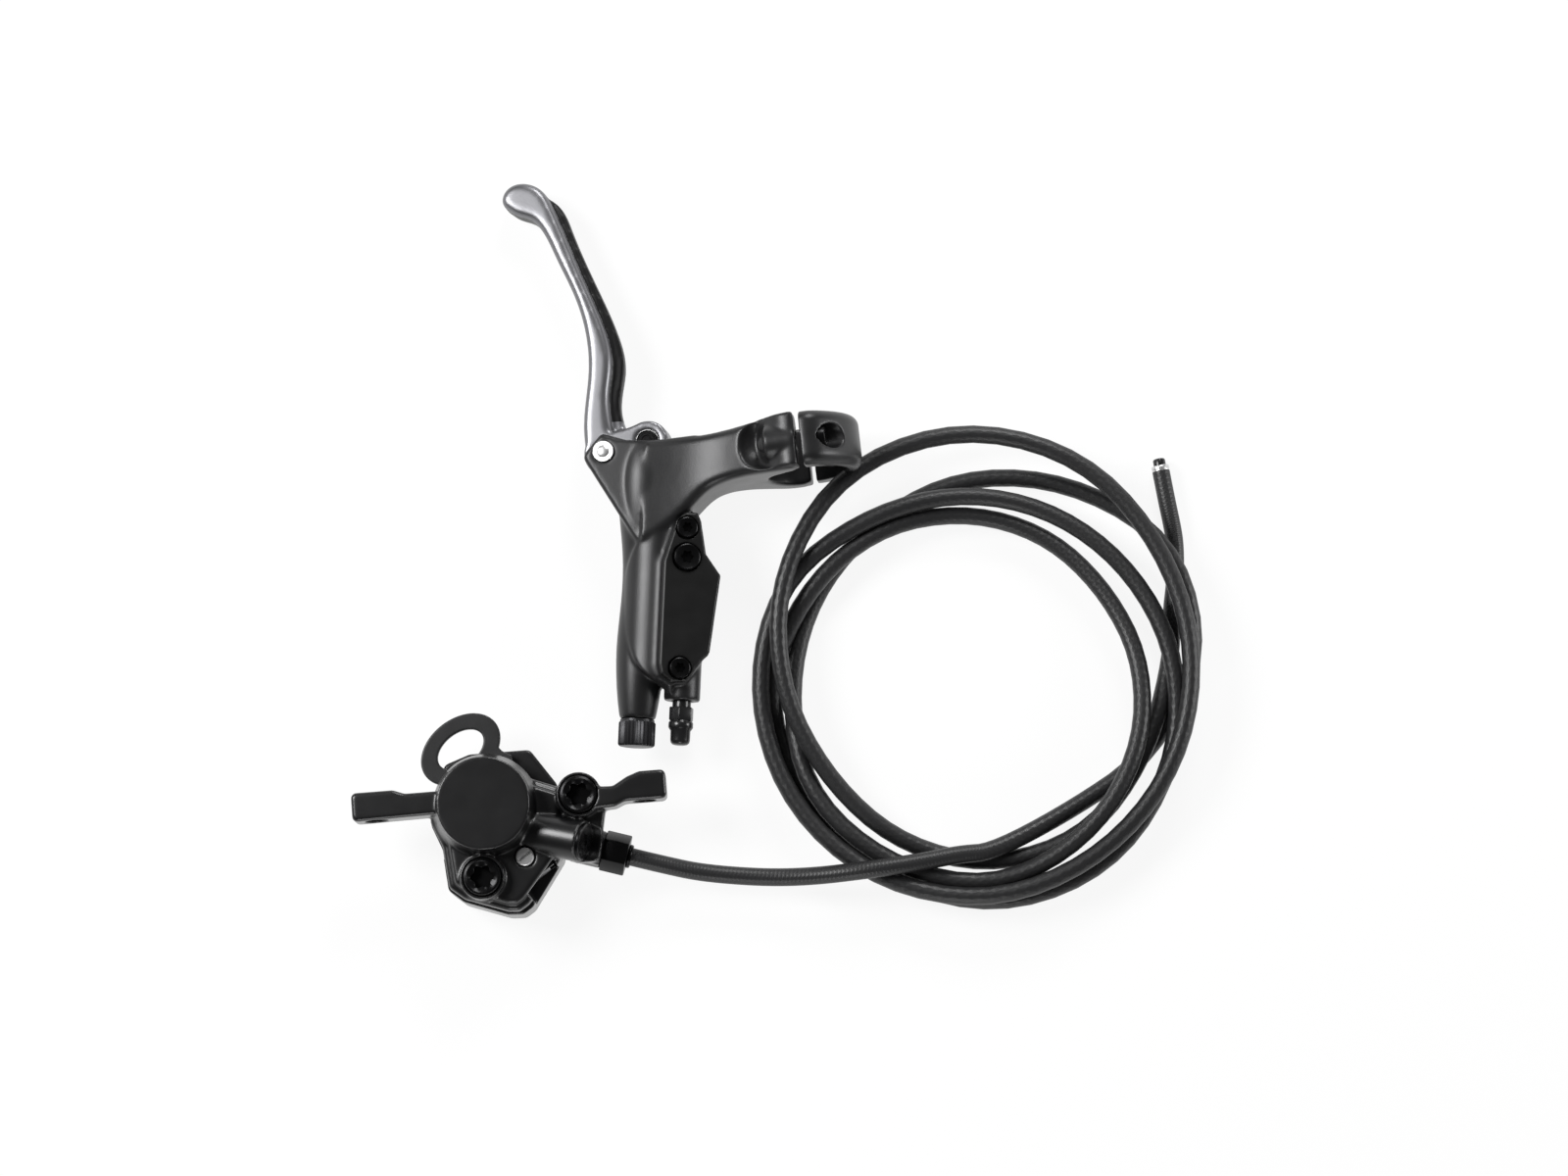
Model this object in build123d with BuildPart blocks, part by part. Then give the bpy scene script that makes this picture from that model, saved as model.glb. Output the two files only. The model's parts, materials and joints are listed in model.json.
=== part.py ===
"""Hydraulic disc brake for a bicycle: lever set, caliper and coiled hose.

Millimetres, +Z up. The set lies on z = 0 with the rotor plane of the caliper
level. The origin is where the caliper's piston axis meets its flat back, +X
runs along the mounting ears and +Y along the mounting screws.
"""

import os
from math import cos, pi, radians, sin, tan

from build123d import *

os.makedirs("parts", exist_ok=True)

# Caliper heights, counted from the back of the inner half
caliper_height = 34.0
rotor_z = 16.5
rotor_slot = 4.2
spacer_thick = 2.2
lining_clearance = 0.4
lining_thick = 2.2
backing_thick = 1.8
piston_setback = 0.3

# Caliper pistons and seals
piston_r = 10.5
piston_clearance = 0.05
piston_wall = 2.2
piston_end_gap = 0.6
outer_piston_long = 9.0
inner_piston_long = 8.4
seal_side = 2.2
seal_setback = 2.4

# Caliper castings
plate_top = 24.6
housing_base_r = 14.8
housing_top_r = 12.8
post_spacing = 74.0
post_middle_x = 6.9
post_slot_wide = 6.2
post_slot_long = 7.8
ear_wide = 12.6
ear_thick = 8.0
ear_deep = 10.8
ear_y = 2.0
neck_thick = 6.4
neck_y = 1.6
ear_corner_r = 1.4
left_root_x = -10.1
right_root_x = 27.9
ear_edge = 1.0
corner_r = 2.0
step_wide = 1.8
step_high = 2.6
step_edge = 1.2

# Body bolts: one near the right ear, one in the lower lobe
bolt_spots = ((26.0, 0.9), (-1.9, -19.7))
bolt_boss_r = 6.2
bolt_boss_top = 28.4
bolt_head_r = 5.2
bolt_head_high = 4.6
bolt_head_sink = 3.2
bolt_shank_r = 3.0
bolt_socket_flats = 5.0
bolt_socket_deep = 2.76
bolt_edge = 0.5
bolt_end_z = 3.0
hole_clearance = 0.1

# Pads: they load from the side that faces away from the rotor's centre
pad_angle = 124.0
pad_r = 12.0
pad_tab_wide = 10.0
pad_tab_end = 24.0
lining_inset = 0.8
dust_groove = 1.2
pad_pocket_clearance = 0.5
pad_pin_out = 17.8
pad_pin_r = 1.5
pad_pin_play = 0.25
pad_pin_seat = 0.9
pad_pin_head_r = 2.5
pad_pin_head_high = 1.6
bridge_start = 12.9
spring_thick = 0.4
spring_wide = 7.0
spring_gap = 1.5

# Oil ports of the caliper
port_turn = -16.4
port_rise = 18.0
port_end = (26.0, -11.8, 25.6)
port_r = 5.9
port_long = 17.0
bleed_plug_r = 3.6
bleed_plug_long = 6.0
bleed_plug_rim = 0.9
thread_end_gap = 0.2
outlet_end = (31.2, -13.7, 13.6)
outlet_turn = -18.0
outlet_r = 5.2
outlet_long = 8.6
nut_flats = 10.0
nut_long = 7.0
nut_thread_r = 3.6
nut_thread_long = 5.0
nut_edge = 0.5
olive_long = 3.4
olive_wall = 1.2
crossover_at = (19.5, -5.0)
crossover_ring_r = 2.2
crossover_ring_section = 1.2
oil_way_r = 1.0
oil_way_deep = 4.0

# Transport spacer
spacer_angle = 115.0
spacer_tongue_wide = 20.0
spacer_tongue_end = 10.0
spacer_neck_y = 12.0
loop_at = (1.6, 18.0)
loop_long_r = 12.2
loop_short_r = 8.6
loop_hole_long_r = 7.2
loop_hole_short_r = 4.5
loop_turn = 8.5

# Lever set: where its pivot stands, and how it lies on the table
pivot_at = (40.5, 97.2, 10.5)
lever_turn = 6.83
lever_tilt = 8.0

# Lever casting, in the lever set's own frame: pivot at 0, cylinder along Y
ear_outer_z = 7.8
clevis_half = 5.25
cylinder_x = 11.8
cylinder_end_y = -74.3
bore_r = 4.6
bore_mouth_y = -8.8
bore_end_y = -62.0
clamp_x = 56.0
clamp_y = 3.3
clamp_turn = 8.8
bar_r = 11.1
clamp_wide = 15.2
clamp_gap = 1.5
clamp_bolt_z = 13.4
clamp_bolt_r = 2.0
clamp_bolt_reach = 8.6
clamp_head_r = 3.1
clamp_head_high = 2.9
clamp_seat = 4.6
clamp_socket_flats = 3.0
clamp_socket_deep = 2.0
clamp_edge = 3.0
boss_outer_r = 5.0
boss_back = 9.6
boss_nib_r = 2.6
hollow_r = 8.4
hollow_z = 18.0
hollow_back = 10.6
arm_edge = 2.4
ridge_r = 9.4
ear_bevel = 0.8
ear_round = 1.4

# Brake fluid reservoir
rim_at = (17.6, 0.0, 9.2)
cover_slope = 20.0
cover_thick = 2.4
pod_deep = 12.5
pod_wall = 1.8
rim_slope = 32.0
rim_slope_deep = 3.0
rim_lip = 0.5
pod_floor = 2.0
membrane_thick = 0.8
membrane_inset = 0.3
bellows_at = (8.3, -45.5)
bellows_wide = 8.4
bellows_long = 16.0
bellows_deep = 4.0
bellows_corner_r = 2.0
cover_screw_spots = ((6.8, -21.3), (6.5, -60.7))
cover_screw_head_r = 2.9
cover_screw_r = 1.5
cover_screw_long = 6.0
cover_screw_head_high = 1.7
cover_socket_flats = 2.5
cover_seat = 0.9
seat_play = 0.35
bleed_screw_spot = (7.1, -29.6)
bleed_screw_head_r = 3.7
bleed_screw_r = 2.0
bleed_screw_head_high = 1.9
bleed_screw_long = 4.0
bleed_socket_flats = 3.0

# Hose port of the lever and its shipping plug
hose_port_x = 24.1
hose_port_r = 5.1
hose_port_end_y = -68.9
hose_port_start_y = -50.0
plug_neck_r = 2.6
plug_flats = 6.0
plug_flange_r = 3.45
plug_nose_r = 2.75

# Lever blade
blade_half = 5.0
web_half = 2.3
blade_edge = 2.0
boss_r = 6.2
bush_r = 3.3
pin_r = 2.5
pin_head_r = 2.9
pin_head_high = 0.9
pin_peen_high = 0.6
barrel_at = (11.8, 3.8)
barrel_r = 3.2
lobe_r = 5.9
fork_half = 2.3

# Master cylinder inner parts
pushrod_r = 1.9
pushrod_tip_r = 2.3
piston_top_y = -10.4
master_piston_long = 17.0
cup_deep = 3.0
cup_r = 3.4
rod_gap = 0.15
rod_inset = 0.9
stop_washer_thick = 0.8
spring_wire_r = 0.45
spring_turns = 7
knob_r = 5.15
knob_long = 7.6
knob_stem_r = 2.9
knob_stem_long = 6.0
knob_ridges = 28
knob_ridge_deep = 0.35
knob_edge = 0.9

# Hose
hose_r = 2.5
coil_at = (139.4, 29.8)
coil_outer = (65.0, 68.0)
coil_hole_at = (137.0, 26.0)
coil_hole = (45.5, 43.5)
coil_notch_at = (98.0, 95.6)
coil_notch_wide = 32.0
coil_high = 12.0
coil_edge = 3.0
lead_points = (
    (38.2, -16.0, 13.6),
    (46.0, -18.5, 13.2),
    (56.5, -21.4, 9.6),
    (67.5, -23.6, 5.0),
    (79.0, -24.8, 2.9),
    (91.0, -25.2, 4.0),
    (102.5, -24.6, 8.0),
)
tail_points = (
    (198.2, 60.6, 2.55),
    (197.9, 66.0, 2.55),
    (196.9, 74.0, 2.55),
    (196.1, 82.1, 2.55),
)
insert_ring_long = 1.6
insert_cap_r = 1.75
insert_cap_long = 2.1


# Shared heights and directions
outer_floor = rotor_z + rotor_slot / 2
inner_top = rotor_z - rotor_slot / 2
lining_face = spacer_thick / 2 + lining_clearance
backing_face = lining_face + lining_thick
piston_face = backing_face + backing_thick
pocket_half = piston_face + piston_setback
bore_clear_r = piston_r + piston_clearance


def turned(angle, z=0.0):
    """Level plane at height z whose +Y points along the given heading."""
    heading = radians(angle)
    return Plane(
        origin=(0, 0, z),
        x_dir=(sin(heading), -cos(heading), 0),
        z_dir=(0, 0, 1),
    )


def port_plane(at, turn, rise=0.0):
    """Plane on the end face of a port, its normal pointing out of the body."""
    normal = (
        cos(radians(rise)) * cos(radians(turn)),
        cos(radians(rise)) * sin(radians(turn)),
        sin(radians(rise)),
    )
    return Plane(origin=at, x_dir=(-sin(radians(turn)), cos(radians(turn)), 0), z_dir=normal)


def corner_radii(points):
    """Largest tidy radius at each corner of a hose route."""
    spots = [Vector(*point) for point in points]
    radii = []
    for before, corner, after in zip(spots, spots[1:], spots[2:]):
        half_turn = radians((corner - before).get_angle(after - corner)) / 2
        shorter = min((corner - before).length, (after - corner).length)
        radii.append(0.45 * shorter / tan(half_turn))
    return radii


pad_plane = turned(pad_angle)
bleed_plane = port_plane(port_end, port_turn, port_rise)
outlet_plane = port_plane(outlet_end, outlet_turn)
post_spots = (post_middle_x - post_spacing / 2, post_middle_x + post_spacing / 2)

# Plan outline that both halves share: the lobe under the pistons
lobe_outline = (
    (-14.6, 4.0),
    (-15.6, -3.1),
    (-12.6, -10.2),
    (-11.6, -21.5),
    (-7.5, -24.9),
    (4.2, -29.1),
    (7.3, -29.3),
    (10.0, -27.6),
    (19.4, -16.4),
    (22.2, -6.4),
    (22.0, 3.4),
    (12.0, 7.4),
)
right_block = (
    (20.0, 3.4),
    (31.8, -1.0),
    (33.0, -3.0),
    (31.8, -9.0),
    (30.4, -17.4),
    (24.0, -17.4),
    (18.0, -14.0),
)
# Ears, drawn from the middle of each slot; the necks end inside the casting
left_ear = (
    (left_root_x, neck_y - neck_thick / 2),
    (post_spots[0] - ear_wide / 2, ear_y - ear_thick / 2),
    (post_spots[0] - ear_wide / 2, ear_y + ear_thick / 2),
    (post_spots[0] + ear_wide / 2 - 1.0, ear_y + ear_thick / 2),
    (post_spots[0] + ear_wide / 2 + 2.2, neck_y + neck_thick / 2),
    (left_root_x, neck_y + neck_thick / 2),
)
right_ear = (
    (right_root_x, neck_y - neck_thick / 2 - 2.0),
    (post_spots[1] - 8.0, neck_y - neck_thick / 2 - 1.6),
    (post_spots[1] - ear_wide / 2 + 1.0, ear_y - ear_thick / 2),
    (post_spots[1] + ear_wide / 2, ear_y - ear_thick / 2),
    (post_spots[1] + ear_wide / 2, ear_y + ear_thick / 2),
    (post_spots[1] - 1.0, ear_y + ear_thick / 2),
    (post_spots[1] - 4.4, neck_y + neck_thick / 2),
    (post_spots[1] - 8.4, neck_y + neck_thick / 2 - 2.3),
    (right_root_x, neck_y + neck_thick / 2 - 2.0),
)
inner_outline = (
    (-14.8, 5.0),
    (-11.0, 13.4),
    (-4.0, 15.8),
    (12.8, 15.8),
    (19.6, 5.8),
    (22.3, -6.6),
    (19.8, -15.6),
    (10.8, -28.2),
    (8.0, -30.0),
    (4.0, -29.8),
    (-8.0, -25.4),
    (-12.2, -21.8),
    (-13.2, -10.3),
    (-16.0, -3.2),
)


def plate(outline, inset, top, edge):
    """Plate of the outer half: an outline drawn in by an inset, its rim rounded."""
    with BuildPart() as part:
        with BuildSketch(Plane.XY.offset(outer_floor)):
            with BuildLine():
                Polyline(*outline, close=True)
            make_face()
            if inset:
                offset(amount=-inset, kind=Kind.INTERSECTION)
            fillet(vertices(), corner_r)
        extrude(amount=top - outer_floor)
        fillet(part.faces().sort_by(Axis.Z)[-1].edges(), edge)
    return part.part


def ear(outline):
    """Mounting ear with its neck, rounded all over like the casting."""
    with BuildPart() as part:
        with BuildSketch(Plane.XY.offset(outer_floor)):
            with BuildLine():
                Polyline(*outline, close=True)
            make_face()
            fillet(vertices(), ear_corner_r)
        extrude(amount=ear_deep)
        fillet(part.faces().sort_by(Axis.Z)[-1].edges(), ear_edge)
    return part.part


# Caliper outer half: the casting with the ears, the ports and one bore
with BuildPart() as outer_half:
    add(plate(lobe_outline, 0, plate_top - step_high, step_edge))
    add(plate(lobe_outline, step_wide, plate_top, step_edge))
    add(plate(right_block, 0, plate_top - 1.2, step_edge))
    with BuildSketch(Plane.XZ):
        with BuildLine():
            Polyline(
                (0, outer_floor),
                (housing_base_r, outer_floor),
                (housing_base_r, plate_top - 3.0),
                (housing_top_r + 0.4, plate_top + 3.2),
                (housing_top_r, caliper_height),
                (0, caliper_height),
                close=True,
            )
        make_face()
    revolve(axis=Axis.Z)
    with BuildSketch(Plane.XY.offset(outer_floor)):
        with Locations(*bolt_spots):
            Circle(bolt_boss_r)
    extrude(amount=bolt_boss_top - outer_floor)
    add(ear(left_ear))
    add(ear(right_ear))
    with BuildSketch(bleed_plane):
        Circle(port_r)
    extrude(amount=-port_long)
    with BuildSketch(Plane.XY):
        Rectangle(200, 200)
    extrude(amount=outer_floor, mode=Mode.SUBTRACT)
    # The bridge beyond the rotor's rim carries both body bolts
    with BuildSketch(Plane.XY.offset(rotor_z)):
        with BuildLine():
            Polyline(*lobe_outline, close=True)
        make_face()
        with Locations(*bolt_spots):
            Circle(bolt_boss_r)
        with BuildSketch(turned(pad_angle, rotor_z), mode=Mode.INTERSECT):
            with Locations((0, -bridge_start - 50)):
                Rectangle(200, 100)
    extrude(amount=outer_floor - rotor_z)
    # Outlet boss that takes the hose nut, under the right-hand edge
    with BuildSketch(outlet_plane):
        Circle(outlet_r)
    extrude(amount=-outlet_long)
    with BuildSketch(outlet_plane):
        with Locations((0, (outer_floor - outlet_end[2]) / 2)):
            Rectangle(2 * outlet_r - 1.0, outer_floor - outlet_end[2])
    extrude(amount=-outlet_long)
    # Piston bore, seal groove and pad pocket, all open towards the rotor
    with BuildSketch(Plane.XY.offset(outer_floor)):
        Circle(bore_clear_r)
    extrude(amount=piston_face + outer_piston_long + piston_end_gap + rotor_z - outer_floor, mode=Mode.SUBTRACT)
    with BuildSketch(Plane.XY.offset(rotor_z + pocket_half + seal_setback)):
        Circle(bore_clear_r + seal_side)
        Circle(bore_clear_r, mode=Mode.SUBTRACT)
    extrude(amount=seal_side, mode=Mode.SUBTRACT)
    with BuildSketch(turned(pad_angle, rotor_z)):
        Circle(pad_r + pad_pocket_clearance)
        with Locations((0, -pad_tab_end)):
            Rectangle(pad_tab_wide + 2 * pad_pocket_clearance, 2 * pad_tab_end)
    extrude(amount=pocket_half, mode=Mode.SUBTRACT)
    # Bolt seats and clearance holes
    with BuildSketch(Plane.XY.offset(bolt_boss_top - bolt_head_sink)):
        with Locations(*bolt_spots):
            Circle(bolt_head_r + hole_clearance)
    extrude(amount=2 * bolt_head_sink, mode=Mode.SUBTRACT)
    with BuildSketch(Plane.XY.offset(rotor_z)):
        with Locations(*bolt_spots):
            Circle(bolt_shank_r + hole_clearance)
    extrude(amount=bolt_boss_top - rotor_z, mode=Mode.SUBTRACT)
    # Ear slots, open along the mounting screws
    with BuildSketch(Plane.XZ):
        with Locations(*((x, outer_floor + ear_deep / 2) for x in post_spots)):
            SlotOverall(post_slot_long, post_slot_wide, rotation=90)
    extrude(amount=20, both=True, mode=Mode.SUBTRACT)
    # Pad pin hole, threaded port recesses and the oil way between the halves
    with BuildSketch(turned(pad_angle, rotor_z)):
        with Locations((0, -pad_pin_out)):
            Circle(pad_pin_r + hole_clearance)
    extrude(amount=plate_top, mode=Mode.SUBTRACT)
    with BuildSketch(turned(pad_angle, plate_top)):
        with Locations((0, -pad_pin_out)):
            Circle(pad_pin_head_r + 0.4)
    extrude(amount=-pad_pin_seat, mode=Mode.SUBTRACT)
    with BuildSketch(bleed_plane):
        Circle(bleed_plug_r + hole_clearance)
    extrude(amount=-bleed_plug_long - thread_end_gap, mode=Mode.SUBTRACT)
    with BuildSketch(bleed_plane):
        Circle(port_r)
    extrude(amount=8.0, mode=Mode.SUBTRACT)
    with BuildSketch(outlet_plane):
        Circle(nut_thread_r + hole_clearance)
    extrude(amount=-nut_thread_long - thread_end_gap, mode=Mode.SUBTRACT)
    with BuildSketch(Plane.XY.offset(rotor_z)):
        with Locations(crossover_at):
            Circle(oil_way_r)
    extrude(amount=oil_way_deep, mode=Mode.SUBTRACT)

# Caliper inner half: the flat-backed casting under the rotor plane
with BuildPart() as inner_half:
    with BuildSketch(Plane.XY):
        with BuildLine():
            Polyline(*inner_outline, close=True)
        make_face()
        fillet(vertices(), corner_r)
        with Locations(bolt_spots[0]):
            Circle(bolt_boss_r)
    extrude(amount=inner_top)
    with BuildSketch(Plane.XY.offset(inner_top)):
        with BuildLine():
            Polyline(*inner_outline, close=True)
        make_face()
        fillet(vertices(), corner_r)
        with Locations(bolt_spots[0]):
            Circle(bolt_boss_r)
        with BuildSketch(turned(pad_angle, inner_top), mode=Mode.INTERSECT):
            with Locations((0, -bridge_start - 50)):
                Rectangle(200, 100)
    extrude(amount=rotor_z - inner_top)
    with BuildSketch(Plane.XY.offset(rotor_z - piston_face - inner_piston_long - piston_end_gap)):
        Circle(bore_clear_r)
    extrude(amount=caliper_height, mode=Mode.SUBTRACT)
    with BuildSketch(Plane.XY.offset(rotor_z - pocket_half - seal_setback)):
        Circle(bore_clear_r + seal_side)
        Circle(bore_clear_r, mode=Mode.SUBTRACT)
    extrude(amount=-seal_side, mode=Mode.SUBTRACT)
    with BuildSketch(turned(pad_angle, rotor_z - pocket_half)):
        Circle(pad_r + pad_pocket_clearance)
        with Locations((0, -pad_tab_end)):
            Rectangle(pad_tab_wide + 2 * pad_pocket_clearance, 2 * pad_tab_end)
    extrude(amount=caliper_height, mode=Mode.SUBTRACT)
    with BuildSketch(Plane.XY.offset(bolt_end_z - 1.0)):
        with Locations(*bolt_spots):
            Circle(bolt_shank_r + hole_clearance)
    extrude(amount=caliper_height, mode=Mode.SUBTRACT)
    with BuildSketch(turned(pad_angle, bolt_end_z)):
        with Locations((0, -pad_pin_out)):
            Circle(pad_pin_r + hole_clearance)
    extrude(amount=caliper_height, mode=Mode.SUBTRACT)
    with BuildSketch(Plane.XY.offset(rotor_z)):
        with Locations(crossover_at):
            Circle(crossover_ring_r + crossover_ring_section)
    extrude(amount=-crossover_ring_section, mode=Mode.SUBTRACT)

# Body bolts with a hexagon socket
with BuildPart() as body_bolts:
    head_seat = bolt_boss_top - bolt_head_sink
    with BuildSketch(Plane.XY.offset(head_seat)):
        with Locations(*bolt_spots):
            Circle(bolt_head_r)
    extrude(amount=bolt_head_high)
    chamfer(body_bolts.faces().filter_by(Axis.Z).sort_by(Axis.Z)[-2:].edges(), bolt_edge)
    with BuildSketch(Plane.XY.offset(head_seat)):
        with Locations(*bolt_spots):
            Circle(bolt_shank_r)
    extrude(amount=bolt_end_z - head_seat)
    with BuildSketch(Plane.XY.offset(head_seat + bolt_head_high)):
        with Locations(*bolt_spots):
            RegularPolygon(bolt_socket_flats / 2, 6, major_radius=False)
    extrude(amount=-bolt_socket_deep, mode=Mode.SUBTRACT)

with BuildPart() as crossover_ring:
    with BuildSketch(Plane.XZ):
        with Locations((crossover_ring_r, rotor_z - crossover_ring_section / 2)):
            Circle(crossover_ring_section / 2)
    revolve(axis=Axis.Z)


def caliper_piston(face_z, long, towards):
    """Cup piston with a hollow that opens on the pad's backing plate."""
    with BuildPart() as piston:
        with BuildSketch(Plane.XY.offset(face_z)):
            Circle(piston_r)
        extrude(amount=towards * long)
        chamfer(piston.edges().filter_by(GeomType.CIRCLE).sort_by(Axis.Z), 0.4)
        with BuildSketch(Plane.XY.offset(face_z)):
            Circle(piston_r - piston_wall)
        extrude(amount=towards * (long - piston_wall), mode=Mode.SUBTRACT)
    return piston


def square_seal(start_z, towards):
    """Square-section ring that grips the piston and pulls it back."""
    with BuildPart() as seal:
        with BuildSketch(Plane.XY.offset(start_z)):
            Circle(bore_clear_r + seal_side)
            Circle(bore_clear_r, mode=Mode.SUBTRACT)
        extrude(amount=towards * seal_side)
    return seal


def backing_plate(face_z, towards):
    """Steel plate with a round head and a tab that hangs on the pad pin."""
    with BuildPart() as plate:
        with BuildSketch(turned(pad_angle, face_z)):
            Circle(pad_r)
            with Locations((0, -pad_tab_end / 2)):
                Rectangle(pad_tab_wide, pad_tab_end)
            with Locations((0, -pad_tab_end + 2.0)):
                Rectangle(pad_tab_wide - 2.0, 4.0)
            with Locations((0, -pad_pin_out)):
                Circle(pad_pin_r + pad_pin_play, mode=Mode.SUBTRACT)
        extrude(amount=towards * backing_thick)
    return plate


def friction_lining(face_z, towards):
    """Sintered block on the backing plate, with a dust groove across it."""
    with BuildPart() as lining:
        with BuildSketch(turned(pad_angle, face_z)):
            Circle(pad_r - lining_inset)
        extrude(amount=towards * lining_thick)
        with BuildSketch(turned(pad_angle, face_z)):
            Rectangle(dust_groove, 2 * pad_r)
        extrude(amount=towards * dust_groove, mode=Mode.SUBTRACT)
    return lining


piston_outer = caliper_piston(rotor_z + piston_face, outer_piston_long, 1)
piston_inner = caliper_piston(rotor_z - piston_face, inner_piston_long, -1)
seal_outer = square_seal(rotor_z + pocket_half + seal_setback, 1)
seal_inner = square_seal(rotor_z - pocket_half - seal_setback, -1)
plate_outer = backing_plate(rotor_z + backing_face, 1)
plate_inner = backing_plate(rotor_z - backing_face, -1)
lining_outer = friction_lining(rotor_z + lining_face, 1)
lining_inner = friction_lining(rotor_z - lining_face, -1)

# Pad spring: a folded strip whose legs press the pads apart
with BuildPart() as pad_spring:
    leg_z = backing_face - spring_thick - 0.05
    with BuildSketch(pad_plane.offset(rotor_z)):
        with Locations((0, -(pad_r + spring_gap + pad_tab_end) / 2)):
            Rectangle(spring_wide, pad_tab_end - pad_r - spring_gap)
    extrude(amount=leg_z + spring_thick, both=True)
    with BuildSketch(pad_plane.offset(rotor_z)):
        with Locations((0, -(pad_r + pad_tab_end) / 2)):
            Rectangle(spring_wide, pad_tab_end - pad_r - 2 * spring_thick)
    extrude(amount=leg_z, both=True, mode=Mode.SUBTRACT)
    with BuildSketch(pad_plane.offset(rotor_z)):
        with Locations((0, -pad_pin_out)):
            Circle(pad_pin_r + pad_pin_play)
    extrude(amount=caliper_height, both=True, mode=Mode.SUBTRACT)

# Pad pin: screwed in from the outer side, its head in a shallow seat
with BuildPart() as pad_pin:
    pin_seat = plate_top - pad_pin_seat
    with BuildSketch(turned(pad_angle, pin_seat)):
        with Locations((0, -pad_pin_out)):
            Circle(pad_pin_head_r)
    extrude(amount=pad_pin_head_high)
    chamfer(pad_pin.faces().sort_by(Axis.Z)[-1].edges(), 0.3)
    with BuildSketch(turned(pad_angle, pin_seat)):
        with Locations((0, -pad_pin_out)):
            Circle(pad_pin_r)
    extrude(amount=bolt_end_z + 0.4 - pin_seat)
    with BuildSketch(turned(pad_angle, pin_seat + pad_pin_head_high)):
        with Locations((0, -pad_pin_out)):
            Rectangle(2 * pad_pin_head_r, 0.8)
    extrude(amount=-0.8, mode=Mode.SUBTRACT)

# Transport spacer between the pads, with its finger loop
with BuildPart() as transport_spacer:
    with BuildSketch(turned(spacer_angle, rotor_z - spacer_thick / 2)):
        with BuildLine():
            Polyline(
                (-spacer_tongue_wide / 2 + 2.0, spacer_neck_y),
                (-spacer_tongue_wide / 2 + 0.5, 6.0),
                (-spacer_tongue_wide / 2 + 0.5, -spacer_tongue_end + 3.0),
                (-spacer_tongue_wide / 2 + 3.5, -spacer_tongue_end),
                (spacer_tongue_wide / 2 - 3.5, -spacer_tongue_end),
                (spacer_tongue_wide / 2 - 0.5, -spacer_tongue_end + 3.0),
                (spacer_tongue_wide / 2 + 1.5, 6.0),
                (spacer_tongue_wide / 2 + 3.2, 9.6),
                (spacer_tongue_wide / 2 + 1.4, 12.0),
                (spacer_tongue_wide / 2 + 0.2, 17.0),
                (-spacer_tongue_wide / 2 + 1.4, 17.0),
                close=True,
            )
        make_face()
        with Locations(Location((*loop_at, 0), loop_turn)):
            Ellipse(loop_long_r, loop_short_r)
            Ellipse(loop_hole_long_r, loop_hole_short_r, mode=Mode.SUBTRACT)
    extrude(amount=spacer_thick)

# Caliper port fittings
with BuildPart() as bleed_plug:
    with BuildSketch(bleed_plane):
        Circle(bleed_plug_r)
    extrude(amount=-bleed_plug_long)
    with BuildSketch(bleed_plane):
        Circle(port_r - 0.8)
    extrude(amount=bleed_plug_rim)
    with BuildSketch(bleed_plane.offset(bleed_plug_rim)):
        RegularPolygon(2.0, 6, major_radius=False)
    extrude(amount=-3.0, mode=Mode.SUBTRACT)

with BuildPart() as hose_nut:
    with BuildSketch(outlet_plane):
        RegularPolygon(nut_flats / 2, 6, major_radius=False)
    extrude(amount=nut_long)
    chamfer(hose_nut.faces().sort_by(SortBy.AREA)[-2:].edges(), nut_edge)
    with BuildSketch(outlet_plane):
        Circle(nut_thread_r)
    extrude(amount=-nut_thread_long)
    with BuildSketch(outlet_plane.offset(nut_long)):
        Circle(hose_r + hole_clearance)
    extrude(amount=-nut_long - nut_thread_long, mode=Mode.SUBTRACT)

with BuildPart() as hose_olive:
    with BuildSketch(outlet_plane.offset(-nut_thread_long)):
        Circle(hose_r)
        Circle(hose_r - olive_wall, mode=Mode.SUBTRACT)
    extrude(amount=olive_long)

# Reservoir frame: X across the cover, Y along the cylinder, Z out of it
rim_plane = Plane(
    origin=rim_at,
    x_dir=(cos(radians(cover_slope)), 0, -sin(radians(cover_slope))),
    z_dir=(sin(radians(cover_slope)), 0, cos(radians(cover_slope))),
)
screw_plane = rim_plane.offset(membrane_thick + cover_thick - cover_seat)
cover_outline = (
    (0.7, -31.1),
    (4.0, -19.3),
    (6.4, -16.9),
    (9.7, -16.9),
    (10.8, -19.2),
    (12.6, -28.4),
    (17.0, -34.1),
    (14.8, -55.9),
    (13.4, -57.2),
    (10.4, -61.6),
    (8.6, -64.2),
    (4.4, -64.6),
    (1.4, -62.6),
    (0.7, -59.8),
)
# Cover's edge on the cylinder's side, from the top round to the bottom
rim_edge = (*cover_outline[2::-1], *cover_outline[:-4:-1])
bar_dir = (-sin(radians(clamp_turn)), cos(radians(clamp_turn)), 0)
clamp_out = (cos(radians(clamp_turn)), sin(radians(clamp_turn)), 0)
bar_plane = Plane(origin=(clamp_x, clamp_y, 0), x_dir=clamp_out, z_dir=bar_dir)
split_plane = Plane(origin=(clamp_x, clamp_y, 0), x_dir=bar_dir, z_dir=clamp_out)
clamp_bolt_spots = ((0.0, clamp_bolt_z), (0.0, -clamp_bolt_z))
cylinder_axis = Axis((cylinder_x, 0, 0), (0, 1, 0))
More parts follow.
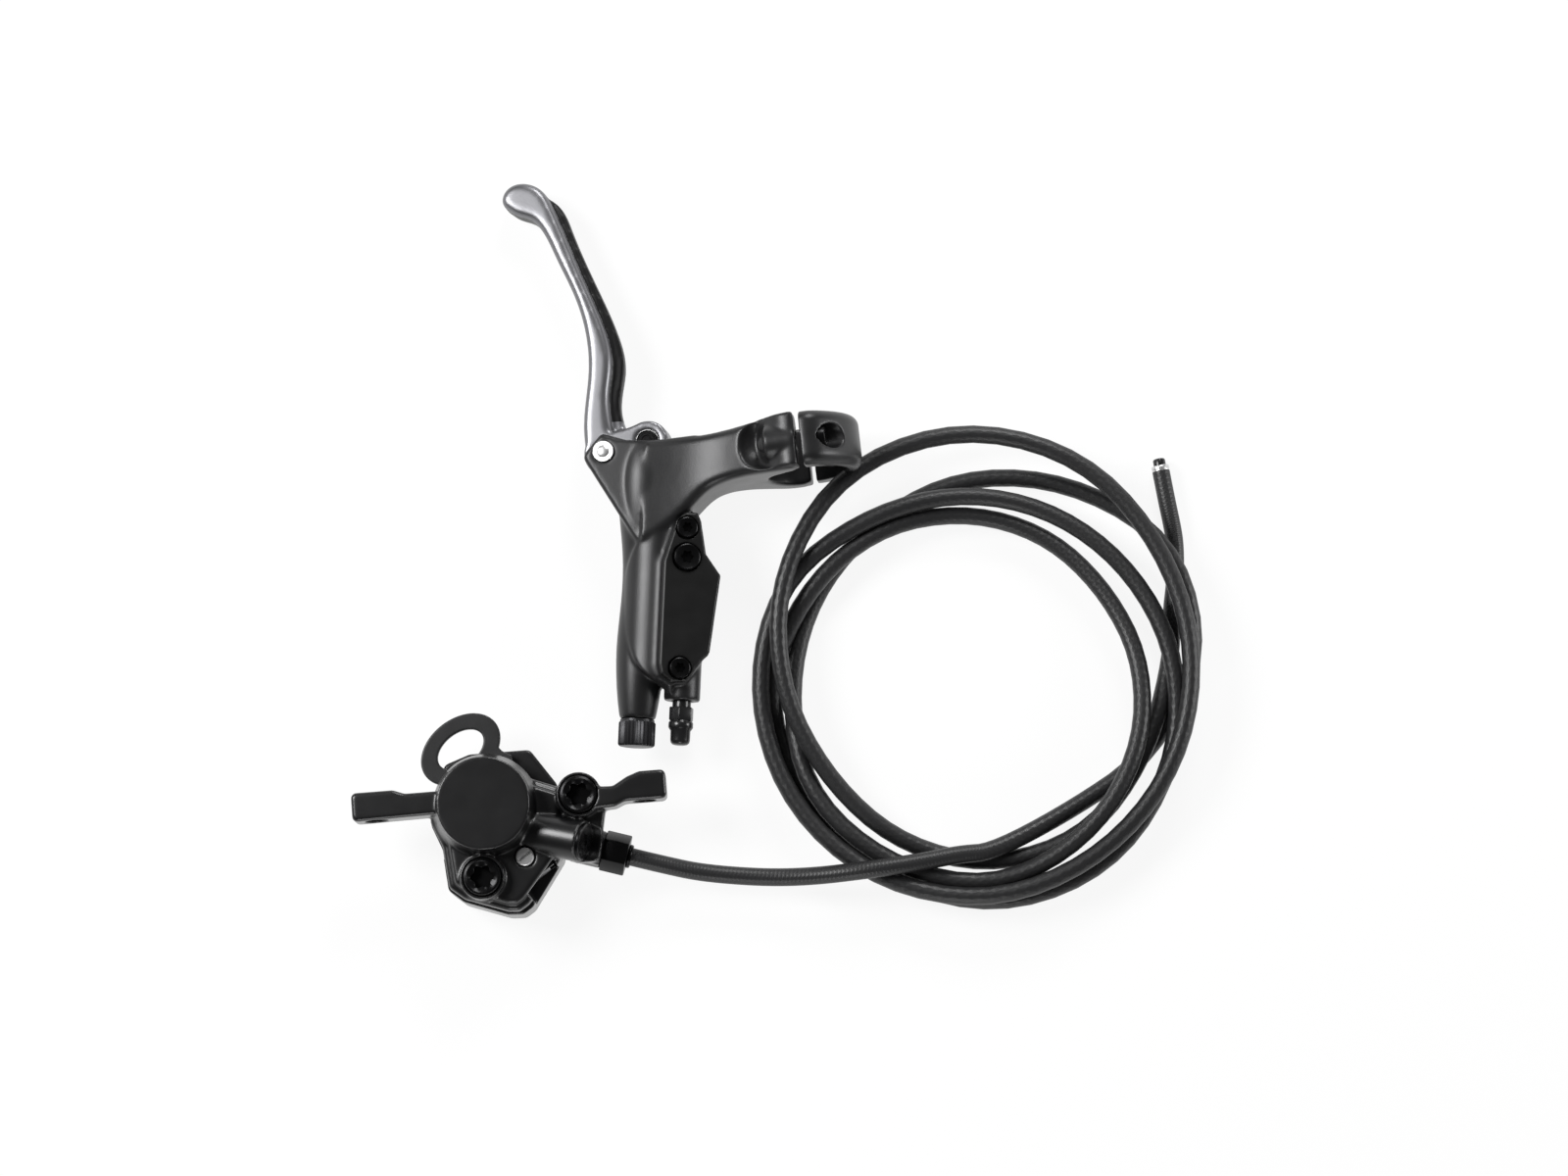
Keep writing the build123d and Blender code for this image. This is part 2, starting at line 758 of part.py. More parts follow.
# Clevis and head from above
ear_outline = (
    (-1.0, 5.5),
    (-5.6, -0.4),
    (-5.9, -1.9),
    (10.6, -25.7),
    (17.5, -24.0),
    (22.0, -18.5),
    (26.0, -13.0),
    (26.0, 5.4),
    (14.8, 3.7),
    (6.4, 3.6),
)
# Height of the arm's crown along X, and a quarter of the clamp's section
arm_crown = ((11.0, 9.4), (17.0, 9.1), (23.0, 9.0), (29.0, 9.6), (35.0, 11.2), (41.0, 13.6), (47.0, 16.0), (56.0, 17.5))
clamp_side = ((0.0, 17.6), (5.0, 17.3), (8.5, 14.6), (11.6, 10.9), (14.3, 5.8), (15.4, 0.0))

# Shoulder that joins the reservoir to the cylinder, with its painted face
with BuildPart() as shoulder:
    with BuildSketch(Plane.XZ):
        with BuildLine():
            face = Spline((7.0, 3.6), (9.4, 6.9), (12.8, 8.5), (16.8, 8.7))
            Polyline(face @ 1, (22.0, 7.0), (22.0, -4.0), (15.0, -5.6), (9.0, -4.8), face @ 0)
        make_face()
    extrude(amount=70)
    with BuildSketch(Plane.XY.offset(-20)):
        with BuildLine():
            flank = Spline(
                (24.0, -64.4),
                (17.0, -63.6),
                (12.6, -60.2),
                (9.0, -52.0),
                (6.8, -42.0),
                (8.0, -31.0),
                (11.4, -24.2),
                (16.0, -19.2),
                (24.0, -17.2),
            )
            Line(flank @ 1, flank @ 0)
        make_face()
    extrude(amount=40, mode=Mode.INTERSECT)

# Clevis ears, bevelled along the edge that shows beside the blade
with BuildPart() as ears:
    with BuildSketch(Plane.XY):
        with BuildLine():
            Polyline(*ear_outline, close=True)
        make_face()
        fillet(vertices().sort_by(Axis.X)[:3], ear_round)
    extrude(amount=ear_outer_z, both=True)
    flats = ears.faces().filter_by(Plane.XY)
    chamfer(flats.edges().filter_by(lambda edge: edge.center().X < 6), ear_bevel)

# Swell over the clevis: the cylinder grows into the head as a soft ridge
with BuildPart() as head_swell:
    with BuildSketch(Plane.XY):
        with BuildLine():
            ridge = Spline(
                (cylinder_x + 7.9, 3.6),
                (cylinder_x + ridge_r, -4.0),
                (cylinder_x + ridge_r, -11.0),
                (cylinder_x + 8.2, -20.0),
                (cylinder_x + 6.5, -28.5),
            )
            Polyline(ridge @ 1, (cylinder_x, -28.5), (cylinder_x, 3.6), ridge @ 0)
        make_face()
    revolve(axis=cylinder_axis)
    with BuildSketch(Plane.XY.offset(-ridge_r - 1)):
        with BuildLine():
            Polyline(*ear_outline, close=True)
        make_face()
    extrude(amount=2 * ridge_r + 2, mode=Mode.INTERSECT)

# Arm that swells towards the bar clamp, with a hollow round each bolt boss
with BuildPart() as arm:
    with BuildSketch(Plane.XY.offset(-20)):
        with BuildLine():
            under = Spline(
                (12.0, -26.0),
                (19.0, -21.6),
                (25.3, -15.6),
                (30.4, -10.3),
                (37.0, -7.6),
                (46.0, -6.3),
                (55.0, -5.0),
            )
            over = Spline((52.9, 11.0), (39.8, 7.7), (27.0, 5.2), (12.0, 3.6))
            Line(under @ 1, over @ 0)
            Line(over @ 1, under @ 0)
        make_face()
    extrude(amount=40)
    with BuildSketch(Plane.XZ.offset(-30)):
        with BuildLine():
            crown = Spline(*arm_crown)
            keel = Spline(*((x, -z) for x, z in arm_crown))
            Line(crown @ 0, keel @ 0)
            Line(crown @ 1, keel @ 1)
        make_face()
    extrude(amount=60, mode=Mode.INTERSECT)
    rims = arm.edges().filter_by(lambda edge: abs(edge.center().Z) > 6 and edge.center().X > 14)
    fillet(rims.filter_by(lambda edge: edge.length > 20), arm_edge)
    for side in (1, -1):
        with Locations((clamp_x - hollow_back, clamp_y - 1.0, side * hollow_z)):
            Sphere(hollow_r, mode=Mode.SUBTRACT)

# Lever casting
with BuildPart() as lever_body:
    # Master cylinder barrel
    with BuildSketch(Plane.XY):
        with BuildLine():
            wall = Spline(
                (cylinder_x + 8.2, 1.0),
                (cylinder_x + 8.0, -15.0),
                (cylinder_x + 6.2, -30.0),
                (cylinder_x + 6.2, -42.0),
                (cylinder_x + 6.8, -54.0),
                (cylinder_x + 6.3, -65.0),
                (cylinder_x + 5.0, cylinder_end_y),
            )
            Polyline(
                wall @ 1,
                (cylinder_x, cylinder_end_y),
                (cylinder_x, 1.0),
                wall @ 0,
            )
        make_face()
    revolve(axis=cylinder_axis)
    # Clevis ears, with the head and the arm
    add(ears.part)
    add(head_swell.part)
    add(arm.part)
    # Half of the bar clamp, with a boss round each bolt
    with BuildSketch(bar_plane):
        with BuildLine():
            back = Spline(*((-x, z) for x, z in clamp_side), *((-x, -z) for x, z in clamp_side[-2::-1]))
            Line(back @ 1, back @ 0)
        make_face()
    extrude(amount=clamp_wide / 2, both=True)
    with BuildSketch(split_plane):
        with Locations(*clamp_bolt_spots):
            Circle(boss_outer_r)
    extrude(amount=-boss_back)
    for spot in (clamp_bolt_z, -clamp_bolt_z):
        with Locations(split_plane.offset(-boss_back)):
            with Locations((0, spot, 0)):
                Sphere(boss_nib_r)
    # Reservoir pod, hanging from the rim plane, and its shoulder
    add(shoulder.part)
    with BuildSketch(rim_plane):
        with BuildLine():
            Polyline(*cover_outline, close=True)
        make_face()
        offset(amount=rim_lip, kind=Kind.INTERSECTION)
    extrude(amount=-pod_deep)
    # Bright slope between the shoulder and the cover's straight edge
    with BuildSketch(rim_plane):
        with BuildLine():
            Polyline(*rim_edge, (6.0, -60.0), (6.0, -21.0), close=True)
        make_face()
        offset(amount=rim_lip, kind=Kind.INTERSECTION)
    extrude(amount=-rim_slope_deep, taper=-rim_slope)
    # Hose port boss
    with BuildSketch(Plane.XZ.offset(-hose_port_start_y)):
        with Locations((hose_port_x, 0)):
            Circle(hose_port_r)
    extrude(amount=hose_port_start_y - hose_port_end_y)
    # Cuts: cover seat, clamp split and bore, clevis slot, cylinder bore
    with BuildSketch(rim_plane):
        with BuildLine():
            Polyline(*cover_outline, close=True)
        make_face()
        offset(amount=rim_lip, kind=Kind.INTERSECTION)
    extrude(amount=12, mode=Mode.SUBTRACT)
    with BuildSketch(split_plane.offset(-clamp_gap / 2)):
        Rectangle(60, 60)
    extrude(amount=40, mode=Mode.SUBTRACT)
    with BuildSketch(bar_plane):
        Circle(bar_r)
    extrude(amount=clamp_wide, both=True, mode=Mode.SUBTRACT)
    with BuildSketch(split_plane.offset(-clamp_gap / 2)):
        with Locations(*clamp_bolt_spots):
            Circle(clamp_bolt_r + hole_clearance)
    extrude(amount=-clamp_bolt_reach, mode=Mode.SUBTRACT)
    with BuildSketch(Plane.XY):
        with BuildLine():
            Polyline((-8, 9), (-8, -9.0), (4.0, bore_mouth_y), (20.6, bore_mouth_y), (20.6, 9), close=True)
        make_face()
    extrude(amount=clevis_half, both=True, mode=Mode.SUBTRACT)
    with BuildSketch(Plane.XZ.offset(-bore_mouth_y)):
        with Locations((cylinder_x, 0)):
            Circle(bore_r)
    extrude(amount=bore_mouth_y - bore_end_y, mode=Mode.SUBTRACT)
    with BuildSketch(Plane.XZ.offset(-cylinder_end_y)):
        with Locations((cylinder_x, 0)):
            Circle(knob_stem_r + hole_clearance)
    extrude(amount=-knob_stem_long - 0.4, mode=Mode.SUBTRACT)
    with BuildSketch(Plane.XY):
        Circle(pin_r + hole_clearance / 2)
    extrude(amount=ear_outer_z, both=True, mode=Mode.SUBTRACT)
    # Reservoir cavity, screw holes, feed hole and hose port bore
    with BuildSketch(rim_plane):
        with BuildLine():
            Polyline(*cover_outline, close=True)
        make_face()
        offset(amount=-pod_wall, kind=Kind.INTERSECTION)
        for spot in cover_screw_spots:
            with Locations(spot):
                Circle(cover_screw_r + 2.0, mode=Mode.SUBTRACT)
    extrude(amount=-pod_deep + pod_floor, mode=Mode.SUBTRACT)
    with BuildSketch(rim_plane):
        with Locations(*cover_screw_spots):
            Circle(cover_screw_r + hole_clearance)
    extrude(amount=-cover_screw_long + 1.8, mode=Mode.SUBTRACT)
    with BuildSketch(Plane.XZ.offset(-hose_port_end_y)):
        with Locations((hose_port_x, 0)):
            Circle(plug_neck_r + hole_clearance)
    extrude(amount=-10.0, mode=Mode.SUBTRACT)

# Clamp cap on the far side of the bar
with BuildPart() as clamp_cap:
    with BuildSketch(bar_plane):
        with BuildLine():
            front = Spline(*clamp_side, *((x, -z) for x, z in clamp_side[-2::-1]))
            Line(front @ 1, front @ 0)
        make_face()
    extrude(amount=clamp_wide / 2, both=True)
    fillet(clamp_cap.edges().filter_by(GeomType.BSPLINE), clamp_edge)
    with BuildSketch(split_plane.offset(clamp_gap / 2)):
        Rectangle(60, 60)
    extrude(amount=-40, mode=Mode.SUBTRACT)
    with BuildSketch(bar_plane):
        Circle(bar_r)
    extrude(amount=clamp_wide, both=True, mode=Mode.SUBTRACT)
    with BuildSketch(split_plane):
        with Locations(*clamp_bolt_spots):
            Circle(clamp_bolt_r + hole_clearance)
    extrude(amount=20, mode=Mode.SUBTRACT)
    with BuildSketch(split_plane.offset(clamp_seat)):
        with Locations(*clamp_bolt_spots):
            Circle(clamp_head_r + 0.4)
    extrude(amount=20, mode=Mode.SUBTRACT)

with BuildPart() as clamp_bolts:
    with BuildSketch(split_plane.offset(clamp_seat)):
        with Locations(*clamp_bolt_spots):
            Circle(clamp_head_r)
    extrude(amount=clamp_head_high)
    with BuildSketch(split_plane.offset(clamp_seat)):
        with Locations(*clamp_bolt_spots):
            Circle(clamp_bolt_r)
    extrude(amount=-clamp_seat - clamp_bolt_reach)
    with BuildSketch(split_plane.offset(clamp_seat + clamp_head_high)):
        with Locations(*clamp_bolt_spots):
            RegularPolygon(clamp_socket_flats / 2, 6, major_radius=False)
    extrude(amount=-clamp_socket_deep, mode=Mode.SUBTRACT)

# Reservoir cover, its rubber membrane and the screws
with BuildPart() as reservoir_cover:
    with BuildSketch(rim_plane.offset(membrane_thick)):
        with BuildLine():
            Polyline(*cover_outline, close=True)
        make_face()
        fillet(vertices(), 0.6)
    extrude(amount=cover_thick)
    chamfer(reservoir_cover.faces().sort_by(Axis(rim_at, rim_plane.z_dir))[-1].edges(), 0.5)
    with BuildSketch(rim_plane.offset(membrane_thick + cover_thick)):
        with Locations(*cover_screw_spots):
            Circle(cover_screw_head_r + seat_play)
        with Locations(bleed_screw_spot):
            Circle(bleed_screw_head_r + seat_play)
    extrude(amount=-cover_seat, mode=Mode.SUBTRACT)
    with BuildSketch(rim_plane):
        with Locations(*cover_screw_spots):
            Circle(cover_screw_r + hole_clearance)
        with Locations(bleed_screw_spot):
            Circle(bleed_screw_r + hole_clearance)
    extrude(amount=10, mode=Mode.SUBTRACT)

with BuildPart() as reservoir_membrane:
    with BuildSketch(rim_plane):
        with BuildLine():
            Polyline(*cover_outline, close=True)
        make_face()
        offset(amount=-membrane_inset, kind=Kind.INTERSECTION)
    extrude(amount=membrane_thick)
    with BuildSketch(rim_plane):
        with Locations(bellows_at):
            RectangleRounded(bellows_wide, bellows_long, bellows_corner_r)
    extrude(amount=-bellows_deep)
    with BuildSketch(rim_plane.offset(membrane_thick)):
        with Locations(bellows_at):
            RectangleRounded(
                bellows_wide - 2 * membrane_thick,
                bellows_long - 2 * membrane_thick,
                bellows_corner_r - membrane_thick,
            )
    extrude(amount=-bellows_deep, mode=Mode.SUBTRACT)
    with BuildSketch(rim_plane):
        with Locations(*cover_screw_spots):
            Circle(cover_screw_r + membrane_inset)
        with Locations(bleed_screw_spot):
            Circle(bleed_screw_r + membrane_inset)
    extrude(amount=10, mode=Mode.SUBTRACT)

with BuildPart() as cover_screws:
    with BuildSketch(screw_plane):
        with Locations(*cover_screw_spots):
            Circle(cover_screw_head_r)
    extrude(amount=cover_screw_head_high)
    with BuildSketch(screw_plane):
        with Locations(*cover_screw_spots):
            Circle(cover_screw_r)
    extrude(amount=-cover_screw_long)
    with BuildSketch(screw_plane.offset(cover_screw_head_high)):
        with Locations(*cover_screw_spots):
            RegularPolygon(cover_socket_flats / 2, 6, major_radius=False)
    extrude(amount=-1.2, mode=Mode.SUBTRACT)

with BuildPart() as bleed_screw:
    with BuildSketch(screw_plane):
        with Locations(bleed_screw_spot):
            Circle(bleed_screw_head_r)
    extrude(amount=bleed_screw_head_high)
    with BuildSketch(screw_plane):
        with Locations(bleed_screw_spot):
            Circle(bleed_screw_r)
    extrude(amount=-bleed_screw_long)
    with BuildSketch(screw_plane.offset(bleed_screw_head_high)):
        with Locations(bleed_screw_spot):
            RegularPolygon(bleed_socket_flats / 2, 6, major_radius=False)
    extrude(amount=-1.5, mode=Mode.SUBTRACT)

# Lever blade: an outer grip band, an inner web, the pivot boss and the lobe
with BuildPart() as lever_blade:
    with BuildSketch(Plane.XY):
        with BuildLine():
            outer_edge = Spline(
                (-31.2, 69.6),
                (-27.8, 67.9),
                (-24.4, 66.8),
                (-21.6, 64.0),
                (-17.0, 55.8),
                (-11.3, 45.0),
                (-6.3, 24.0),
                (-6.9, 10.0),
                (-5.6, 0.0),
            )
            inner_edge = Spline(
                (3.0, 0.0),
                (1.2, 8.0),
                (0.0, 16.1),
                (0.4, 26.0),
                (-2.5, 36.6),
                (-9.6, 51.4),
                (-19.2, 71.4),
                (-22.4, 75.8),
                (-27.2, 77.7),
                (-31.8, 76.4),
                (-33.6, 73.2),
                outer_edge @ 0,
            )
            Line(outer_edge @ 1, inner_edge @ 0)
        make_face()
    extrude(amount=blade_half, both=True)
    fillet(lever_blade.edges().filter_by(Plane.XY), blade_edge)
    with BuildSketch(Plane.XY):
        with BuildLine():
            web_edge = Spline(
                (6.0, 6.0),
                (4.0, 9.6),
                (3.0, 14.6),
                (3.7, 25.3),
                (1.6, 33.7),
                (-3.8, 45.2),
                (-13.5, 64.7),
                (-17.4, 71.6),
                (-20.4, 73.6),
            )
            Polyline(web_edge @ 1, (-19.0, 68.0), (-7.5, 44.0), (-3.0, 24.0), (-3.0, 6.0), web_edge @ 0)
        make_face()
    extrude(amount=web_half, both=True)
    with BuildSketch(Plane.XY):
        Circle(boss_r)
        with Locations(barrel_at):
            Circle(lobe_r)
        with BuildLine():
            Polyline((0, boss_r - 0.4), (5.0, 7.2), (11.0, 9.6), (10.5, -1.9), (0, -boss_r + 0.4), close=True)
        make_face()
    extrude(amount=blade_half, both=True)
    with BuildSketch(Plane.XY):
        Circle(bush_r)
        with Locations(barrel_at):
            Circle(barrel_r + piston_clearance)
    extrude(amount=blade_half, both=True, mode=Mode.SUBTRACT)
    with BuildSketch(Plane.XY):
        with Locations((barrel_at[0] + 0.4, barrel_at[1] - 5.0)):
            Rectangle(8.4, 10.0)
    extrude(amount=fork_half, both=True, mode=Mode.SUBTRACT)

with BuildPart() as pivot_bushes:
    for side in (1, -1):
        with BuildSketch(Plane.XY):
            Circle(bush_r)
            Circle(pin_r + piston_clearance, mode=Mode.SUBTRACT)
        extrude(amount=side * blade_half)
    with BuildSketch(Plane.XY):
        Circle(bush_r)
    extrude(amount=0.2, both=True, mode=Mode.SUBTRACT)

with BuildPart() as pivot_pin:
    with BuildSketch(Plane.XY.offset(-ear_outer_z)):
        Circle(pin_r)
    extrude(amount=2 * ear_outer_z)
    with BuildSketch(Plane.XY.offset(ear_outer_z)):
        Circle(pin_head_r)
    extrude(amount=pin_head_high)
    with BuildSketch(Plane.XY.offset(-ear_outer_z)):
        Circle(pin_head_r)
    extrude(amount=-pin_peen_high)

# Trunnion barrel in the lobe, and the pushrod screwed into it
with BuildPart() as pushrod_barrel:
    with BuildSketch(Plane.XY):
        with Locations(barrel_at):
            Circle(barrel_r)
    extrude(amount=blade_half - 0.1, both=True)
    with BuildSketch(Plane.XZ.offset(-barrel_at[1] - barrel_r + rod_inset)):
        with Locations((barrel_at[0], 0)):
            Circle(pushrod_r)
    extrude(amount=2 * barrel_r, mode=Mode.SUBTRACT)

with BuildPart() as pushrod:
    tip_y = piston_top_y - cup_deep + rod_gap
    with BuildSketch(Plane.XY):
        with BuildLine():
            Polyline(
                (barrel_at[0], barrel_at[1] + barrel_r - rod_inset),
                (barrel_at[0] + pushrod_r, barrel_at[1] + barrel_r - rod_inset),
                (barrel_at[0] + pushrod_r, tip_y + 2.6),
                (barrel_at[0] + pushrod_tip_r, tip_y + 1.8),
                (barrel_at[0] + pushrod_tip_r, tip_y + 0.6),
                (barrel_at[0] + 1.4, tip_y),
                (barrel_at[0], tip_y),
                close=True,
            )
        make_face()
    revolve(axis=Axis((barrel_at[0], 0, 0), (0, 1, 0)))

# Master piston with its two seal grooves
with BuildPart() as master_piston:
    top = piston_top_y
    end = piston_top_y - master_piston_long
    r = bore_r - piston_clearance
    groove = r - 1.3
    with BuildSketch(Plane.XY):
        with BuildLine():
            Polyline(
                (cylinder_x, top - cup_deep),
                (cylinder_x + cup_r, top - cup_deep),
                (cylinder_x + cup_r, top),
                (cylinder_x + r, top),
                (cylinder_x + r, top - 4.0),
                (cylinder_x + groove, top - 4.0),
                (cylinder_x + groove, top - 5.6),
                (cylinder_x + r, top - 5.6),
                (cylinder_x + r, top - 7.0),
                (cylinder_x + groove, top - 7.6),
                (cylinder_x + groove, top - 11.4),
                (cylinder_x + r, top - 12.0),
                (cylinder_x + r, top - 13.4),
                (cylinder_x + groove, top - 13.4),
                (cylinder_x + groove, end),
                (cylinder_x, end),
                close=True,
            )
        make_face()
    revolve(axis=cylinder_axis)

with BuildPart() as secondary_seal:
    with BuildSketch(Plane.XY):
        with Locations((cylinder_x + bore_r - 0.65, piston_top_y - 4.8)):
            Rectangle(1.2, 1.5)
    revolve(axis=cylinder_axis)

with BuildPart() as primary_seal:
    with BuildSketch(Plane.XY):
        with BuildLine():
            lip_y = piston_top_y - 13.5
            Polyline(
                (cylinder_x + bore_r - 1.3, lip_y),
                (cylinder_x + bore_r - 0.05, lip_y),
                (cylinder_x + bore_r - 0.05, lip_y - 3.0),
                (cylinder_x + bore_r - 0.5, lip_y - 3.0),
                (cylinder_x + bore_r - 0.8, lip_y - 1.2),
                (cylinder_x + bore_r - 1.3, lip_y - 1.2),
                close=True,
            )
        make_face()
    revolve(axis=cylinder_axis)

with BuildPart() as stop_washer:
    with BuildSketch(Plane.XZ.offset(-bore_mouth_y)):
        with Locations((cylinder_x, 0)):
            Circle(bore_r - 0.05)
            Circle(cup_r, mode=Mode.SUBTRACT)
    extrude(amount=stop_washer_thick)

with BuildPart() as return_spring:
    start_y = piston_top_y - master_piston_long - spring_wire_r
    spring_long = start_y - bore_end_y - spring_wire_r
    pitch = spring_long / spring_turns
    with BuildLine():
        coil = Helix(
            pitch,
            spring_long,
            bore_r - 1.0,
            center=(cylinder_x, bore_end_y + spring_wire_r, 0),
            direction=(0, 1, 0),
        )
    with BuildSketch(Plane(origin=coil @ 0, z_dir=coil % 0)):
        Circle(spring_wire_r)
    sweep()

# Knurled knob on the end of the cylinder
with BuildPart() as end_knob:
    knob_plane = Plane.XZ.offset(-cylinder_end_y + 0.1)
    with BuildSketch(knob_plane):
        with Locations((cylinder_x, 0)):
            Circle(knob_r)
    extrude(amount=knob_long)
    chamfer(end_knob.faces().sort_by(Axis.Y)[0].edges(), knob_edge)
    with BuildSketch(knob_plane):
        with Locations((cylinder_x, 0)):
            with PolarLocations(knob_r + 0.1, knob_ridges):
                Circle(knob_ridge_deep)
    extrude(amount=knob_long - 1.2, mode=Mode.SUBTRACT)
    with BuildSketch(knob_plane):
        with Locations((cylinder_x, 0)):
            Circle(knob_stem_r)
    extrude(amount=-knob_stem_long)

# Shipping plug in the lever's hose port
with BuildPart() as port_plug:
    plug_y = hose_port_end_y
    with BuildSketch(Plane.XY):
        with BuildLine():
            Polyline(
                (hose_port_x, plug_y + 8.0),
                (hose_port_x + plug_neck_r, plug_y + 8.0),
                (hose_port_x + plug_neck_r, plug_y - 6.0),
                (hose_port_x + plug_flange_r, plug_y - 6.0),
                (hose_port_x + plug_flange_r, plug_y - 7.6),
                (hose_port_x + plug_nose_r, plug_y - 8.2),
                (hose_port_x + plug_nose_r, plug_y - 11.4),
                (hose_port_x + plug_nose_r - 0.8, plug_y - 12.3),
                (hose_port_x, plug_y - 12.3),
                close=True,
            )
        make_face()
    revolve(axis=Axis((hose_port_x, 0, 0), (0, 1, 0)))
    with BuildSketch(Plane.XZ.offset(-plug_y + 1.5)):
        with Locations((hose_port_x, 0)):
            RegularPolygon(plug_flats / 2, 6, major_radius=False)
    extrude(amount=4.4)

# Hose: lead out of the caliper, coil, and the free tail
lead_radii = corner_radii(lead_points)
tail_radii = corner_radii(tail_points)
print("lead radii", [round(radius, 1) for radius in lead_radii])
print("tail radii", [round(radius, 1) for radius in tail_radii])


def hose_tube(points, radii):
    """Round tube along straight runs joined by tangent arcs."""
    with BuildPart() as tube:
        with BuildLine():
            route = FilletPolyline(*points, radius=radii)
        with BuildSketch(Plane(origin=route @ 0, z_dir=route % 0)):
            Circle(hose_r)
        sweep()
    print("tube length", round(route.length, 2), "volume ratio",
          round(tube.part.volume / (route.length * pi * hose_r ** 2), 4))
    return tube, route


hose_lead, lead_route = hose_tube(lead_points, lead_radii)
hose_tail, tail_route = hose_tube(tail_points, tail_radii)

with BuildPart() as hose_coil:
    with BuildSketch(Plane.XY):
        with Locations(coil_at):
            Ellipse(*coil_outer)
        with Locations(coil_hole_at):
            Ellipse(*coil_hole, mode=Mode.SUBTRACT)
        with Locations(coil_notch_at):
            Rectangle(coil_notch_wide, 20, mode=Mode.SUBTRACT)
    extrude(amount=coil_high)
    fillet(hose_coil.faces().sort_by(Axis.Z)[-1].edges(), coil_edge)

with BuildPart() as hose_insert:
    end_plane = Plane(origin=tail_route @ 1, z_dir=tail_route % 1)
    with BuildSketch(end_plane):
        Circle(hose_r)
    extrude(amount=insert_ring_long)

with BuildPart() as hose_cap:
    with BuildSketch(end_plane.offset(insert_ring_long)):
        Circle(insert_cap_r)
    extrude(amount=insert_cap_long)

# The crossover ring was turned about Z, and goes to its place in the bridge
crossover_ring.part.move(Location((*crossover_at, 0)))

# The lever set is turned and tipped as it lies beside the caliper
lever_frame = Plane(
    origin=pivot_at,
    x_dir=(
        cos(radians(lever_tilt)) * cos(radians(lever_turn)),
        -cos(radians(lever_tilt)) * sin(radians(lever_turn)),
        sin(radians(lever_tilt)),
    ),
    z_dir=(
        -sin(radians(lever_tilt)) * cos(radians(lever_turn)),
        sin(radians(lever_tilt)) * sin(radians(lever_turn)),
        cos(radians(lever_tilt)),
    ),
)
lever_pieces = {
    "lever_body": lever_body,
    "clamp_cap": clamp_cap,
    "clamp_bolts": clamp_bolts,
    "reservoir_cover": reservoir_cover,
    "reservoir_membrane": reservoir_membrane,
    "cover_screws": cover_screws,
    "bleed_screw": bleed_screw,
    "lever_blade": lever_blade,
    "pivot_bushes": pivot_bushes,
    "pivot_pin": pivot_pin,
    "pushrod_barrel": pushrod_barrel,
    "pushrod": pushrod,
    "master_piston": master_piston,
    "primary_seal": primary_seal,
    "secondary_seal": secondary_seal,
    "stop_washer": stop_washer,
    "return_spring": return_spring,
    "end_knob": end_knob,
    "port_plug": port_plug,
}
for piece in lever_pieces.values():
    piece.part.move(lever_frame.location)

caliper_pieces = {
    "caliper_outer_half": outer_half,
    "caliper_inner_half": inner_half,
    "body_bolts": body_bolts,
    "crossover_ring": crossover_ring,
    "piston_outer": piston_outer,
    "piston_inner": piston_inner,
    "piston_seal_outer": seal_outer,
    "piston_seal_inner": seal_inner,
    "pad_plate_outer": plate_outer,
    "pad_plate_inner": plate_inner,
    "pad_lining_outer": lining_outer,
    "pad_lining_inner": lining_inner,
    "pad_spring": pad_spring,
    "pad_pin": pad_pin,
    "transport_spacer": transport_spacer,
    "caliper_bleed_plug": bleed_plug,
    "hose_nut": hose_nut,
    "hose_olive": hose_olive,
}
hose_pieces = {
    "hose_lead": hose_lead,
    "hose_coil": hose_coil,
    "hose_tail": hose_tail,
    "hose_insert": hose_insert,
    "hose_cap": hose_cap,
}
for name, piece in (lever_pieces | caliper_pieces | hose_pieces).items():
    piece.part.label = name
    export_step(piece.part, f"parts/{name}.step")
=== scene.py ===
"""Hydraulic disc brake set for a bicycle, new, on a white table.

The CAD solids are the frame. The castings are skins grown over those solids,
rounded as a die leaves them; screws, knob, plug and hose are pieces of their
own. Lengths are millimetres until a mesh is finished, then metres.
"""

from __future__ import annotations

import json
import logging
from dataclasses import dataclass
from enum import Enum
from math import cos, radians, sin, tau
from typing import Callable, Sequence

import bmesh
import bpy
from mathutils import Matrix, Vector

